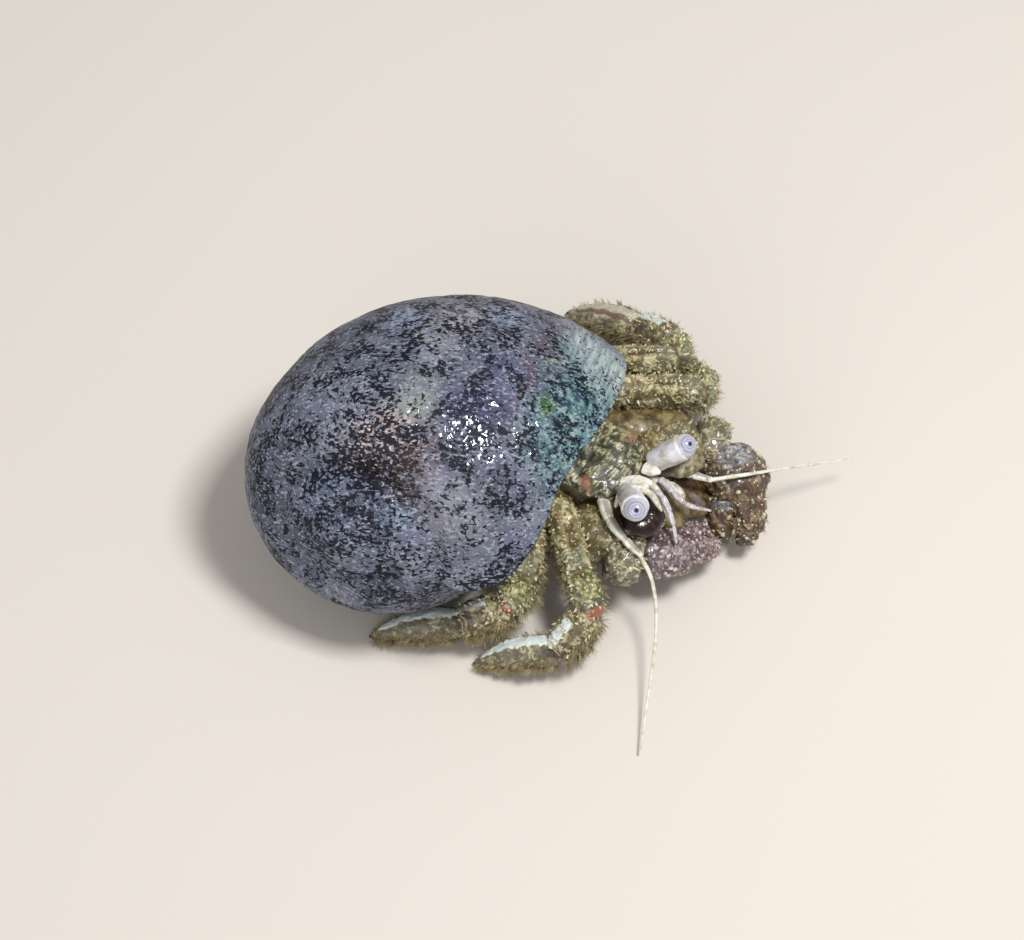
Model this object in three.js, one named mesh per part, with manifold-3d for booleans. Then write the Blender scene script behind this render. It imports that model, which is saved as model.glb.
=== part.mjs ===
// A hermit crab in a moon snail's shell, life size, standing still. Millimetres, +Z up, the floor is z = 0.
// +X is the way the crab faces and +Y is its left side. The finished group is moved so that its origin is
// the middle of the bounding box on the floor.
import * as THREE from "three";
import { mergeVertices } from "three/addons/utils/BufferGeometryUtils.js";
import Module from "manifold-3d";

const wasm = await Module();
wasm.setup();

/** A place, or a direction, in the crab's own axes. */
function at(x, y, z) {
  return new THREE.Vector3(x, y, z);
}

// ---------------------------------------------------------------- driving dimensions
const TURN = 2 * Math.PI;
const GAP = 0.32; // clear space between two pieces that meet
const UP = at(0, 0, 1);

// The shell is a logarithmic spiral: one outline turns about an axis and grows by the same factor each turn.
const SHELL = {
  apex: new THREE.Vector3(4.0, -27.0, 21.9), // the point that the whorls shrink to
  axisAzimuth: -87, // degrees from +X: the spire points to the crab's right
  axisRise: 26.3, // degrees above the floor
  lipAngle: 184.3, // degrees about the axis at which growth ends
  growthPerTurn: 1.92,
  centreOut: 11.7, // centre of the whorl outline at the lip, from the axis
  centreDown: -22.5, // and along the axis, from the apex
  radius: 15.06, // mean radius of the whorl outline at the lip
  taller: 0.2, // how much taller than wide the outline is
  leaning: 0.036,
  squarer: 0.025,
  lipLag: 55, // degrees by which the base of the lip lies behind its top
  lipHook: 36, // degrees by which the lip runs on further beside the older whorl
  hookAt: 100, // degrees round the outline from its outermost point
  hookSpan: 60,
  stretch: 1.15, // the old shell is drawn out a little along one direction
  stretchAzimuth: 45.3,
  stretchRise: -14,
  clearOfAxis: 0.3, // no whorl comes nearer to the axis than this at the lip
  columella: 0.05, // radius of the solid pillar on the axis, for each millimetre from the apex
  wall: 1.2,
  turns: 3.9,
  hollowTurns: 0.84, // how far back the inside is open
};
const WHORL_SIDES = 23;
const WHORL_PIECES = [0, 0.45, 0.9, 1.3, 1.75, 2.2, 2.65, 3.1, SHELL.turns]; // turns back from the lip
const STEPS_PER_TURN = [27, 19, 15, 14, 13, 11, 9, 7];
const HOLLOW_PAST_LIP = 0.05; // turns
const HOLLOW_STEPS = 18;

// The crab. Each row holds the joints of one limb, from the body outwards. Half widths and half heights run
// from the near end of a piece to its far end, evenly spaced.
const WALKING_LEGS = [
  {
    name: "leg2_right",
    joints: [at(17, -1.4, 9.4), at(25.5, -9, 10.2), at(29.1, -11.1, 7.7), at(27.6, -15.9, 4.4), at(19.3, -21.2, 0.3)],
  },
  {
    name: "leg3_right",
    joints: [at(13.8, -1.4, 9), at(20.9, -12.6, 9.4), at(20.7, -15.6, 7.1), at(16.6, -19.1, 4.3), at(7.3, -25.3, 0.3)],
  },
  {
    name: "leg2_left",
    joints: [at(14, 13, 9.5), at(23.3, 19.9, 9.2), at(21.8, 23, 6.4), at(16, 23.4, 3.5), at(8, 20.4, 0.3)],
  },
  {
    name: "leg3_left",
    joints: [at(9.5, 14.6, 9.2), at(18.4, 21.6, 9.6), at(16.8, 24.9, 7.4), at(11.2, 25.9, 4.4), at(0.8, 24.7, 0.3)],
  },
];
const LEG_PIECES = [
  { name: "merus", wide: [1.3, 1.7, 1.75, 1.5], high: [1.8, 2.5, 2.6, 2.1] },
  { name: "carpus", wide: [1.3, 1.7, 1.55], high: [1.7, 2.2, 1.9] },
  { name: "propodus", wide: [1.5, 2, 1.9], high: [1.8, 2.3, 2.1] },
  { name: "dactyl", wide: [1.6, 1.8, 1.6, 1.05, 0.35], high: [1.8, 2, 1.65, 1.05, 0.4], bow: 1 },
];
const CLAWS = [
  {
    name: "claw_right",
    joints: [at(20.6, 0, 9), at(26.8, -4.2, 9), at(29.6, -2.6, 8.2)],
    knuckle: at(32.4, 2.8, 6.8),
    tip: at(34.1, 7.4, 3.9),
    size: 1,
  },
  {
    name: "claw_left",
    joints: [at(20.8, 7.6, 8.8), at(26.8, 14.6, 8.8), at(29.2, 16.1, 8)],
    knuckle: at(33.9, 12.2, 6.6),
    tip: at(36.2, 7.7, 3.5),
    size: 1.3,
  },
];
const CLAW_PIECES = [
  { name: "merus", wide: [1.5, 2.5, 2.5], high: [1.9, 2.7, 2.5] },
  { name: "carpus", wide: [2, 2.8, 2.4], high: [1.9, 2.5, 2.1] },
];
const PALM = { wide: [1.6, 2.5, 2.9, 2.8, 1.5, 1.25, 0.9, 0.45], high: [1.6, 2.3, 2.6, 2.4, 1.6, 1.3, 0.9, 0.45] };
const FINGER = { wide: [1.25, 1.3, 1, 0.4], high: [1.3, 1.35, 1, 0.4] };
const FINGER_SPREAD = 1.4; // each finger stands this far to its side of the claw's middle line
const SMALL_LEGS = [
  { name: "leg4_right", path: [at(12.5, -0.8, 12), at(13.6, -3.6, 12.8), at(16.4, -4.8, 11.2)] },
  { name: "leg4_left", path: [at(12.5, 7.8, 12), at(13.6, 11, 13), at(16.2, 12, 11.6)] },
  { name: "leg5_right", path: [at(10, -1.6, 15.2), at(10.8, -4, 17.2), at(13.6, -5, 18)] },
  { name: "leg5_left", path: [at(10, 6.6, 14.5), at(10.4, 9.6, 16), at(13, 10.4, 16)] },
];
const SMALL_LEG = { wide: [0.8, 0.75, 0.7, 0.5], high: [0.9, 0.85, 0.8, 0.55] };
const EYES = [
  { name: "right", base: at(24.8, 1.9, 13.5), pupil: at(28.2, -1.5, 17.3) },
  { name: "left", base: at(25, 6.1, 13.5), pupil: at(27.9, 9.1, 16.4) },
];
const CORNEA_RADIUS = 1.42;
const STALK = { wide: [1.2, 1.35, 1.5, 1.6], high: [1.2, 1.35, 1.5, 1.6] };
const OCULAR_SCALES = [
  { name: "ocular_scale_right", path: [at(24.9, 3.1, 14.5), at(27.2, 2.7, 14.9)] },
  { name: "ocular_scale_left", path: [at(24.9, 4.9, 14.5), at(27.2, 5.3, 14.9)] },
];
const OCULAR_SCALE = { wide: [0.75, 0.8, 0.3], high: [0.35, 0.35, 0.25] };
const ANTENNULES = [
  { name: "antennule_right", path: [at(26.2, 3.5, 13.3), at(28.8, 2.9, 13.6), at(31, 1.6, 12.6), at(32.9, 0.3, 10.6)] },
  { name: "antennule_left", path: [at(26.9, 5.6, 12.8), at(31.3, 4.8, 12.4), at(33.8, 6.2, 11.4)] },
];
const ANTENNULE = { wide: [0.5, 0.45, 0.35, 0.28], high: [0.5, 0.45, 0.35, 0.28] };
const ANTENNAE = [
  {
    name: "antenna_right",
    peduncle: [at(23.2, 0.2, 12), at(26.2, -2.3, 11.6), at(29.8, -2.9, 10.2)],
    acicle: [at(25.6, -0.7, 12.2), at(28.6, -0.9, 12.3)],
    flagellum: [at(30.2, -3, 10), at(34.6, -6.2, 7), at(36.8, -9.7, 5), at(39.1, -14.4, 2.6), at(41.8, -19.8, 1)],
  },
  {
    name: "antenna_left",
    peduncle: [at(24, 7.6, 12), at(28.6, 8.3, 12.2), at(31.6, 9.9, 11)],
    acicle: [at(26.3, 9.2, 12.6), at(29, 10.6, 12.8)],
    flagellum: [at(31.9, 10.2, 11), at(34.2, 12.8, 10.8), at(38.1, 18.8, 8.2), at(42, 24.6, 5.6)],
  },
];
const PEDUNCLE = { wide: [0.9, 0.75, 0.6, 0.45], high: [0.9, 0.75, 0.6, 0.45] };
const ACICLE = { wide: [0.5, 0.45, 0.28], high: [0.4, 0.35, 0.28] };
const FLAGELLUM = { wide: [0.36, 0.32, 0.28, 0.26], high: [0.36, 0.32, 0.28, 0.26] };
const MAXILLIPEDS = [
  { name: "maxilliped_right", path: [at(25, 2.7, 10.6), at(28.8, 2.2, 10.4), at(29.6, 3, 7.4)] },
  { name: "maxilliped_left", path: [at(25, 5.5, 10.6), at(28.8, 6.4, 10.4), at(29.4, 6.4, 7.4)] },
];
const MAXILLIPED = { wide: [0.9, 0.95, 0.8, 0.4], high: [1, 1, 0.85, 0.4] };
const EYE_FOLDS = [
  {
    name: "eye_fold_right",
    path: [at(26.2, 1.4, 12.4), at(28.3, 0, 12.9), at(30.3, -1.2, 12.2)],
    wide: [1.6, 2.6, 2.7, 1.5],
    high: [0.9, 1.3, 1.3, 0.8],
  },
  {
    name: "eye_fold_left",
    path: [at(26.4, 7, 12.2), at(28.2, 9.3, 12.8), at(29.8, 11, 12.3)],
    wide: [1.2, 2, 1.9, 1.1],
    high: [0.8, 1.1, 1.1, 0.7],
  },
];
const SHIELD = {
  path: [at(16.2, 3.2, 13.2), at(20.8, 3.6, 13.5), at(25.1, 4, 13)],
  wide: [4, 4.6, 4.7, 4.2, 1.6],
  high: [1.2, 1.6, 1.7, 1.5, 0.7],
};
const CARAPACE = {
  path: [at(25, 4.1, 11.2), at(18, 3.6, 10.8), at(12, 2.2, 13.2), at(8.6, 0.2, 16.8)],
  wide: [2.4, 4.2, 4.3, 4.2, 3.6],
  high: [1.5, 2.7, 3, 3.2, 3.2],
};
const ABDOMEN = {
  turnsBack: [0.2, 0.3, 0.4, 0.5, 0.6],
  start: [at(9.4, 0.8, 15.8), at(6.2, -1.2, 18.8)],
  towardsOutside: 0.3, // share of the way from the middle of the whorl to its outer wall
  wide: [3.4, 3.7, 4.2, 4.3, 4, 3.3, 2.3],
  high: [3.4, 3.7, 4.2, 4.3, 4, 3.3, 2.3],
};

const COLOUR = {
  shell: "#6b6b78",
  shield: "#8d8a5c",
  flesh: "#a08f6a",
  leg: "#8f8450",
  claw: "#7d6663",
  eye: "#b9b6d4",
  stalk: "#d9d8dc",
  feeler: "#dcd8c6",
};

// ---------------------------------------------------------------- solids
/** A manifold-3d solid made from a closed three.js geometry, turned outside out if it is inside in. */
function solid(geometry) {
  const bare = geometry.clone();
  bare.deleteAttribute("normal");
  bare.deleteAttribute("uv");
  const merged = mergeVertices(bare, 1e-4);
  const corners = Uint32Array.from(merged.index.array);
  if (signedVolume(merged.attributes.position, corners) < 0) {
    for (let i = 0; i < corners.length; i += 3) {
      const kept = corners[i + 1];
      corners[i + 1] = corners[i + 2];
      corners[i + 2] = kept;
    }
  }
  return new wasm.Manifold(
    new wasm.Mesh({
      numProp: 3,
      vertProperties: Float32Array.from(merged.attributes.position.array),
      triVerts: corners,
    }),
  );
}

/** The volume inside a triangle mesh, negative when its faces point inwards. */
function signedVolume(position, corners) {
  const a = new THREE.Vector3();
  const b = new THREE.Vector3();
  const c = new THREE.Vector3();
  let sum = 0;
  for (let i = 0; i < corners.length; i += 3) {
    a.fromBufferAttribute(position, corners[i]);
    b.fromBufferAttribute(position, corners[i + 1]);
    c.fromBufferAttribute(position, corners[i + 2]);
    sum += a.dot(b.cross(c)) / 6;
  }
  return sum;
}

/** A named mesh of one solid. */
function mesh(name, body, colour, roughness) {
  const made = body.getMesh();
  const geometry = new THREE.BufferGeometry();
  geometry.setAttribute("position", new THREE.BufferAttribute(made.vertProperties, 3));
  geometry.setIndex(new THREE.BufferAttribute(made.triVerts, 1));
  geometry.computeVertexNormals();
  const material = new THREE.MeshStandardMaterial({ color: colour, roughness, metalness: 0 });
  const piece = new THREE.Mesh(geometry, material);
  piece.name = name;
  return piece;
}

const BELOW_FLOOR = solid(new THREE.BoxGeometry(300, 300, 40).translate(0, 0, -20));

/** The largest closed surface of a solid, which fills any hollow that no opening reaches. */
function largest(body) {
  return body.decompose().reduce((best, other) => (other.volume() > best.volume() ? other : best));
}

/** The part of a solid that stands above the floor, so that it rests on a small flat. */
function onFloor(body) {
  return body.subtract(BELOW_FLOOR);
}

/** The value at t (0 to 1) of a row of evenly spaced values, joined by smooth steps. */
function along(values, t) {
  const place = Math.min(Math.max(t, 0), 1) * (values.length - 1);
  const before = Math.min(Math.floor(place), values.length - 2);
  const part = place - before;
  const eased = part * part * (3 - 2 * part);
  return values[before] + (values[before + 1] - values[before]) * eased;
}

/**
 * A limb piece: rings of an upright cylinder laid along a smooth path, with its own half width
 * and half height at each place. The ends are closed. A grown one is larger all round.
 */
function limb({ path, wide, high, sides = 8, rings = 4 }, grown = 0) {
  const curve = new THREE.CatmullRomCurve3(path, false, "centripetal");
  const geometry = new THREE.CylinderGeometry(1, 1, 1, sides, rings, false);
  const position = geometry.attributes.position;
  const point = new THREE.Vector3();
  for (let i = 0; i < position.count; i++) {
    point.fromBufferAttribute(position, i);
    const t = 0.5 - point.y;
    const forward = curve.getTangentAt(t);
    const across = new THREE.Vector3().crossVectors(forward, UP).normalize();
    const over = new THREE.Vector3().crossVectors(across, forward);
    const pastEnd = t === 0 ? -grown : t === 1 ? grown : 0;
    const placed = curve
      .getPointAt(t)
      .addScaledVector(across, point.x * (along(wide, t) + grown))
      .addScaledVector(over, point.z * (along(high, t) + grown))
      .addScaledVector(forward, pastEnd);
    position.setXYZ(i, placed.x, placed.y, placed.z);
  }
  return solid(geometry);
}

// ---------------------------------------------------------------- the shell
const radians = THREE.MathUtils.degToRad;

/** A unit vector from its azimuth and its rise above the floor, in degrees. */
function direction(azimuth, rise) {
  const flat = Math.cos(radians(rise));
  return at(
    Math.cos(radians(azimuth)) * flat,
    Math.sin(radians(azimuth)) * flat,
    Math.sin(radians(rise)),
  );
}

const AXIS = direction(SHELL.axisAzimuth, SHELL.axisRise);
const AXIS_SIDE = new THREE.Vector3().crossVectors(AXIS, UP).normalize();
const AXIS_OVER = new THREE.Vector3().crossVectors(AXIS, AXIS_SIDE);
const STRETCH = direction(SHELL.stretchAzimuth, SHELL.stretchRise);
const GROWTH = Math.log(SHELL.growthPerTurn) / TURN;

/** A place given by its distance from the axis, its angle about it and its distance along it. */
function aboutAxis(out, turned, down) {
  const offset = new THREE.Vector3()
    .addScaledVector(AXIS_SIDE, out * Math.cos(turned))
    .addScaledVector(AXIS_OVER, out * Math.sin(turned))
    .addScaledVector(AXIS, down);
  offset.addScaledVector(STRETCH, (SHELL.stretch - 1) * offset.dot(STRETCH));
  return offset.add(SHELL.apex);
}

/**
 * A point of the whorl: q goes round the outline, back is the turns behind the lip, reach is 1 on the
 * outer face and 0 on the middle line, and inset is the depth below that face in millimetres.
 */
function whorlPoint(q, back, reach = 1, inset = 0) {
  const shape =
    1 - SHELL.taller * Math.cos(2 * q) - SHELL.leaning * Math.sin(2 * q) + SHELL.squarer * Math.cos(4 * q);
  const full = SHELL.radius * shape;
  const edgeOut = SHELL.centreOut + full * Math.cos(q) * reach;
  const edgeDown = SHELL.centreDown + full * Math.sin(q) * reach;
  const fromSuture = 1 - (2 * Math.atan2(Math.max(edgeOut, 0.01), -edgeDown)) / Math.PI;
  const roundOutline = (THREE.MathUtils.radToDeg(q) + 360) % 360;
  const offHook = Math.min(Math.abs(roundOutline - SHELL.hookAt) / SHELL.hookSpan, 1);
  const hook = (SHELL.lipHook * reach * (1 + Math.cos(Math.PI * offHook))) / 2;
  const lag = radians(SHELL.lipLag * (2 * fromSuture - fromSuture ** 2) - hook);
  const grown = -back * TURN - lag;
  const scale = Math.exp(GROWTH * grown);
  const radius = Math.max(scale * full * reach - inset, 0);
  const out = Math.max(scale * SHELL.centreOut + radius * Math.cos(q), scale * SHELL.clearOfAxis);
  const down = scale * SHELL.centreDown + radius * Math.sin(q);
  return aboutAxis(out, radians(SHELL.lipAngle) - grown, down);
}

/** One closed length of whorl between two places, given in turns behind the lip. */
function whorlPiece(newer, older, steps, inset = 0) {
  const geometry = new THREE.CylinderGeometry(1, 1, 1, WHORL_SIDES, steps, false);
  const position = geometry.attributes.position;
  const point = new THREE.Vector3();
  for (let i = 0; i < position.count; i++) {
    point.fromBufferAttribute(position, i);
    const q = Math.atan2(point.z, point.x);
    const reach = Math.hypot(point.x, point.z);
    const back = newer * (0.5 + point.y) + older * (0.5 - point.y);
    const placed = whorlPoint(q, back, reach, inset * reach);
    position.setXYZ(i, placed.x, placed.y, placed.z);
  }
  return solid(geometry);
}

/** The whole shell: all whorls joined, less the open room behind the lip, standing on a small flat. */
function buildShell() {
  const pillarEnd = SHELL.centreDown * 0.93;
  let outside = limb({
    path: [aboutAxis(0, 0, -1), aboutAxis(0, 0, pillarEnd)],
    wide: [SHELL.columella, -pillarEnd * SHELL.columella],
    high: [SHELL.columella, -pillarEnd * SHELL.columella],
    rings: 1,
  });
  let olderWhorls = null;
  for (let i = 1; i < WHORL_PIECES.length; i++) {
    const length = WHORL_PIECES[i] - WHORL_PIECES[i - 1];
    const steps = Math.round(length * STEPS_PER_TURN[i - 1]);
    const piece = whorlPiece(WHORL_PIECES[i - 1], WHORL_PIECES[i], steps);
    outside = outside.add(piece);
    if (WHORL_PIECES[i - 1] >= SHELL.hollowTurns) {
      olderWhorls = olderWhorls ? olderWhorls.add(piece) : piece;
    }
  }
  const room = whorlPiece(-HOLLOW_PAST_LIP, SHELL.hollowTurns, HOLLOW_STEPS, SHELL.wall);
  return onFloor(largest(largest(outside).subtract(room.subtract(largest(olderWhorls)))));
}

// ---------------------------------------------------------------- the crab
const crab = new THREE.Group();
const placed = []; // what each later piece is cut clear of: the limbs already made, a little larger

/** Adds one named limb piece to the crab, cut clear of the limb pieces that are there already. */
function addLimb(name, shape, colour, roughness = 0.5) {
  let body = limb(shape);
  for (const other of placed) {
    body = body.subtract(other);
  }
  placed.push(limb(shape, GAP));
  crab.add(mesh(name, onFloor(largest(body)), colour, roughness));
}

/** The path from one joint to the next, raised by bow in its middle. */
function stretch(from, to, bow = 0) {
  const middle = new THREE.Vector3().addVectors(from, to).multiplyScalar(0.5);
  middle.z += bow;
  return [from, middle, to];
}

/** The pieces of one limb, from the body outwards, each from one joint to the next. */
function addJointed(name, joints, pieces, colour) {
  pieces.forEach((piece, i) => {
    const path = stretch(joints[i], joints[i + 1], piece.bow);
    addLimb(`${name}_${piece.name}`, { ...piece, path }, colour);
  });
}

/** The same row of half widths, made larger or smaller. */
function scaled(row, size) {
  return row.map((value) => value * size);
}

/** One claw: its arm, the palm with the fixed finger, and the finger that would move. */
function addClaw({ name, joints, knuckle, tip, size }) {
  addJointed(name, joints, CLAW_PIECES, COLOUR.leg);
  const wrist = joints[joints.length - 1];
  const side = new THREE.Vector3().subVectors(tip, knuckle).cross(UP).normalize();
  if (side.x < 0) {
    side.negate();
  }
  const beside = (place, share) => place.clone().addScaledVector(side, share * FINGER_SPREAD * size);
  const halfway = new THREE.Vector3().addVectors(knuckle, tip).multiplyScalar(0.5);
  const fixed = [wrist, stretch(wrist, knuckle)[1], beside(knuckle, 0.4), beside(halfway, 1), beside(tip, 0.4)];
  const palm = { wide: scaled(PALM.wide, size), high: scaled(PALM.high, size), path: fixed, rings: 10 };
  addLimb(`${name}_palm`, palm, COLOUR.claw);
  const moving = [beside(knuckle, -0.9), beside(halfway, -1), beside(tip, -0.4)];
  const finger = { wide: scaled(FINGER.wide, size), high: scaled(FINGER.high, size), path: moving };
  addLimb(`${name}_finger`, finger, COLOUR.claw);
}

/** An eye: a short stalk and the round cornea on its end. */
function addEye({ name, base, pupil }) {
  const forward = new THREE.Vector3().subVectors(pupil, base).normalize();
  const end = pupil.clone().addScaledVector(forward, -0.2 * CORNEA_RADIUS);
  const ball = (radius) => solid(
    new THREE.SphereGeometry(radius, 10, 7).translate(pupil.x, pupil.y, pupil.z),
  );
  crab.add(mesh(`cornea_${name}`, ball(CORNEA_RADIUS), COLOUR.eye, 0.1));
  placed.push(ball(CORNEA_RADIUS + GAP));
  addLimb(`eyestalk_${name}`, { ...STALK, path: [base, end], rings: 3 }, COLOUR.stalk, 0.4);
}

crab.add(mesh("shell", buildShell(), COLOUR.shell, 0.45));
addLimb("shield", { ...SHIELD, sides: 12, rings: 7 }, COLOUR.shield);
EYES.forEach(addEye);
addLimb("carapace", { ...CARAPACE, sides: 10, rings: 7 }, COLOUR.flesh);
const deeper = ABDOMEN.turnsBack.map((back) => whorlPoint(0, back, ABDOMEN.towardsOutside));
const innerPath = [...ABDOMEN.start, ...deeper];
addLimb("abdomen", { ...ABDOMEN, path: innerPath, sides: 8, rings: 8 }, COLOUR.flesh);
CLAWS.forEach(addClaw);
WALKING_LEGS.forEach(({ name, joints }) => addJointed(name, joints, LEG_PIECES, COLOUR.leg));
SMALL_LEGS.forEach(({ name, path }) => addLimb(name, { ...SMALL_LEG, path }, COLOUR.flesh));
OCULAR_SCALES.forEach(({ name, path }) => addLimb(name, { ...OCULAR_SCALE, path, rings: 2 }, COLOUR.feeler));
ANTENNAE.forEach(({ name, peduncle, acicle, flagellum }) => {
  addLimb(`${name}_peduncle`, { ...PEDUNCLE, path: peduncle }, COLOUR.feeler);
  addLimb(`${name}_acicle`, { ...ACICLE, path: acicle, sides: 6, rings: 2 }, COLOUR.feeler);
  addLimb(`${name}_flagellum`, { ...FLAGELLUM, path: flagellum, sides: 6, rings: 10 }, COLOUR.feeler);
});
ANTENNULES.forEach(({ name, path }) => addLimb(name, { ...ANTENNULE, path, sides: 6 }, COLOUR.feeler));
MAXILLIPEDS.forEach(({ name, path }) => addLimb(name, { ...MAXILLIPED, path, sides: 6 }, COLOUR.flesh));
EYE_FOLDS.forEach(({ name, ...shape }) => addLimb(name, { ...shape, rings: 3 }, COLOUR.flesh));

// ---------------------------------------------------------------- put on the floor, in the middle
const group = new THREE.Group();
group.add(crab);
const box = new THREE.Box3().setFromObject(group);
const centre = box.getCenter(new THREE.Vector3());
crab.position.set(-centre.x, -centre.y, -box.min.z);

export default group;
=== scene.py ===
"""A marine hermit crab in an old moon snail shell, life size and standing still.

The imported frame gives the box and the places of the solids. Each class below models one part of the animal
around them and dresses it. Shapes are worked out in millimetres, in the crab's own axes: +X is the way it
faces, +Y is its left and +Z is up. Every mesh is finished in metres, in the frame's axes.
"""

import logging
import math
from collections.abc import Callable, Sequence
from dataclasses import dataclass, field
from enum import Enum

import bpy
import numpy as np
from mathutils import Matrix, Vector


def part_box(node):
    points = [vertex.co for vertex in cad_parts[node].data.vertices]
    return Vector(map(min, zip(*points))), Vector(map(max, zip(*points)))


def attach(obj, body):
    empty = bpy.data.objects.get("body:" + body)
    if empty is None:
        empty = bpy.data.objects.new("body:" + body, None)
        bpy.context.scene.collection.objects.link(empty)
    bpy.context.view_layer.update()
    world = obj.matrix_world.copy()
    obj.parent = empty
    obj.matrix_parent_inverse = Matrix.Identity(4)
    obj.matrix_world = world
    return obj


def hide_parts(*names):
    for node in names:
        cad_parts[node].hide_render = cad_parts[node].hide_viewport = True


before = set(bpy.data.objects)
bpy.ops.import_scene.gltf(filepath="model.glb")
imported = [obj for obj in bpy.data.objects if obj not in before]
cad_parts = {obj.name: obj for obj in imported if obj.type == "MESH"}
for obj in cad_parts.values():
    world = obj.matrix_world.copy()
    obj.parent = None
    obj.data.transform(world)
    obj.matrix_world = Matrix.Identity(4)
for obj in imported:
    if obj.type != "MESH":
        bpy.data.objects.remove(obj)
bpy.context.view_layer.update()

LOG = logging.getLogger("hermit_crab")
MM = 0.001
WELD = 1e-7  # metres: vertices closer than this are one
BODY = "root"
COAT_MAP = "OFBake"
PATCH_HALF = 0.0015  # half the side of one tuft's patch on the coat's map
RELIEF_MAP = "Relief"
RELIEF_SPAN = 0.3  # millimetres of relief from one end of that map to the other
WALL_MAP = "Wall"  # the shell's map that is 1 on its inner wall
PUPIL_RIGHT = (28.2, -1.5, 17.3)  # middle of the right cornea in the crab's own axes
Points = np.ndarray
Place = Sequence[float]  # x, y and z, in the crab's own millimetres
Piece = bpy.types.Object
Socket = bpy.types.NodeSocket
Finishes = dict[str, bpy.types.Material]


def crab_to_frame() -> Points:
    """Returns how far the frame's axes are moved from the crab's own, in millimetres."""
    low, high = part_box("cornea_right")
    return np.array((low + high) / 2) / MM - np.array(PUPIL_RIGHT)


SHIFT = crab_to_frame()


# -------- arithmetic of shapes
def unit(rows: Points) -> Points:
    """Returns each row made one long."""
    return rows / np.maximum(np.linalg.norm(rows, axis=-1, keepdims=True), 1e-12)


def direction(azimuth: float, rise: float) -> Points:
    """Returns the unit vector at an azimuth from +X and a rise above the floor, in degrees."""
    turn, lift = math.radians(azimuth), math.radians(rise)
    return np.array([math.cos(turn) * math.cos(lift), math.sin(turn) * math.cos(lift), math.sin(lift)])


def smooth(low: float, high: float, value: Points) -> Points:
    """Returns 0 below low, 1 above high and a smooth step between."""
    share = np.clip((value - low) / (high - low), 0, 1)
    return share * share * (3 - 2 * share)


def along_row(values: Sequence[float], share: Points) -> Points:
    """Returns the value at each share (0 to 1) of a row of evenly spaced values joined by smooth steps.

    Args:
        values: The row.
        share: Where to read it.

    Returns:
        The values.
    """
    row = np.array(values, float)
    place = np.clip(share, 0, 1) * (len(row) - 1)
    before = np.minimum(place.astype(int), len(row) - 2)
    part = place - before
    return row[before] + (row[before + 1] - row[before]) * part * part * (3 - 2 * part)


class Lumps:
    """Soft random lumps through space, the same on every run."""

    SIDE = 48
    TABLE = np.random.default_rng(11).random((SIDE, SIDE, SIDE)) * 2 - 1

    @classmethod
    def at(cls, points: Points, size: float) -> Points:
        """Returns a value from -1 to 1 at each point.

        Args:
            points: Rows of x, y, z.
            size: Distance from lump to lump, in the points' unit.

        Returns:
            The values.
        """
        place = points / size + 1000.0
        cell = np.floor(place).astype(int)
        part = place - cell
        part = part * part * (3 - 2 * part)
        total = np.zeros(len(points))
        for corner in range(8):
            step = np.array([corner & 1, corner >> 1 & 1, corner >> 2 & 1])
            index = (cell + step) % cls.SIDE
            weight = np.prod(np.where(step, part, 1 - part), axis=1)
            total += weight * cls.TABLE[index[:, 0], index[:, 1], index[:, 2]]
        return total


@dataclass
class SmoothPath:
    """A smooth line through a few points."""

    points: Sequence[Place]
    steps: int = 48

    def __post_init__(self) -> None:
        """Works out the line's own points and its length up to each."""
        given = np.array(self.points, float)
        ends = [2 * given[0] - given[1], *given, 2 * given[-1] - given[-2]]
        line = [given[0]]
        for before, start, end, after in zip(ends, ends[1:], ends[2:], ends[3:]):
            steps = (start - before, end - start, after - end)
            near, mid, far = (np.linalg.norm(step) ** 0.5 for step in steps)
            leave = steps[0] / near - (end - before) / (near + mid) + steps[1] / mid
            arrive = steps[1] / mid - (after - start) / (mid + far) + steps[2] / far
            leave, arrive = leave * mid, arrive * mid
            for share in np.linspace(0, 1, self.steps + 1)[1:]:
                square, cube = share**2, share**3
                line.append(
                    (2 * cube - 3 * square + 1) * start
                    + (cube - 2 * square + share) * leave
                    + (3 * square - 2 * cube) * end
                    + (cube - square) * arrive
                )
        self.line = np.array(line)
        steps = np.linalg.norm(np.diff(self.line, axis=0), axis=1)
        self.reached = np.concatenate([[0], np.cumsum(steps)])

    @property
    def length(self) -> float:
        """Returns the whole length."""
        return float(self.reached[-1])

    def at(self, share: Points) -> Points:
        """Returns the points at the given shares of the length."""
        goal = np.clip(share, 0, 1) * self.length
        return np.stack([np.interp(goal, self.reached, self.line[:, axis]) for axis in range(3)], axis=1)

    def heading(self, share: Points) -> Points:
        """Returns the unit directions at the given shares of the length."""
        small = 0.01
        return unit(self.at(np.minimum(share + small, 1)) - self.at(np.maximum(share - small, 0)))


Sculpt = Callable[[Points, Points, Points], Points]  # from around, along and place to height, in mm


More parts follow.
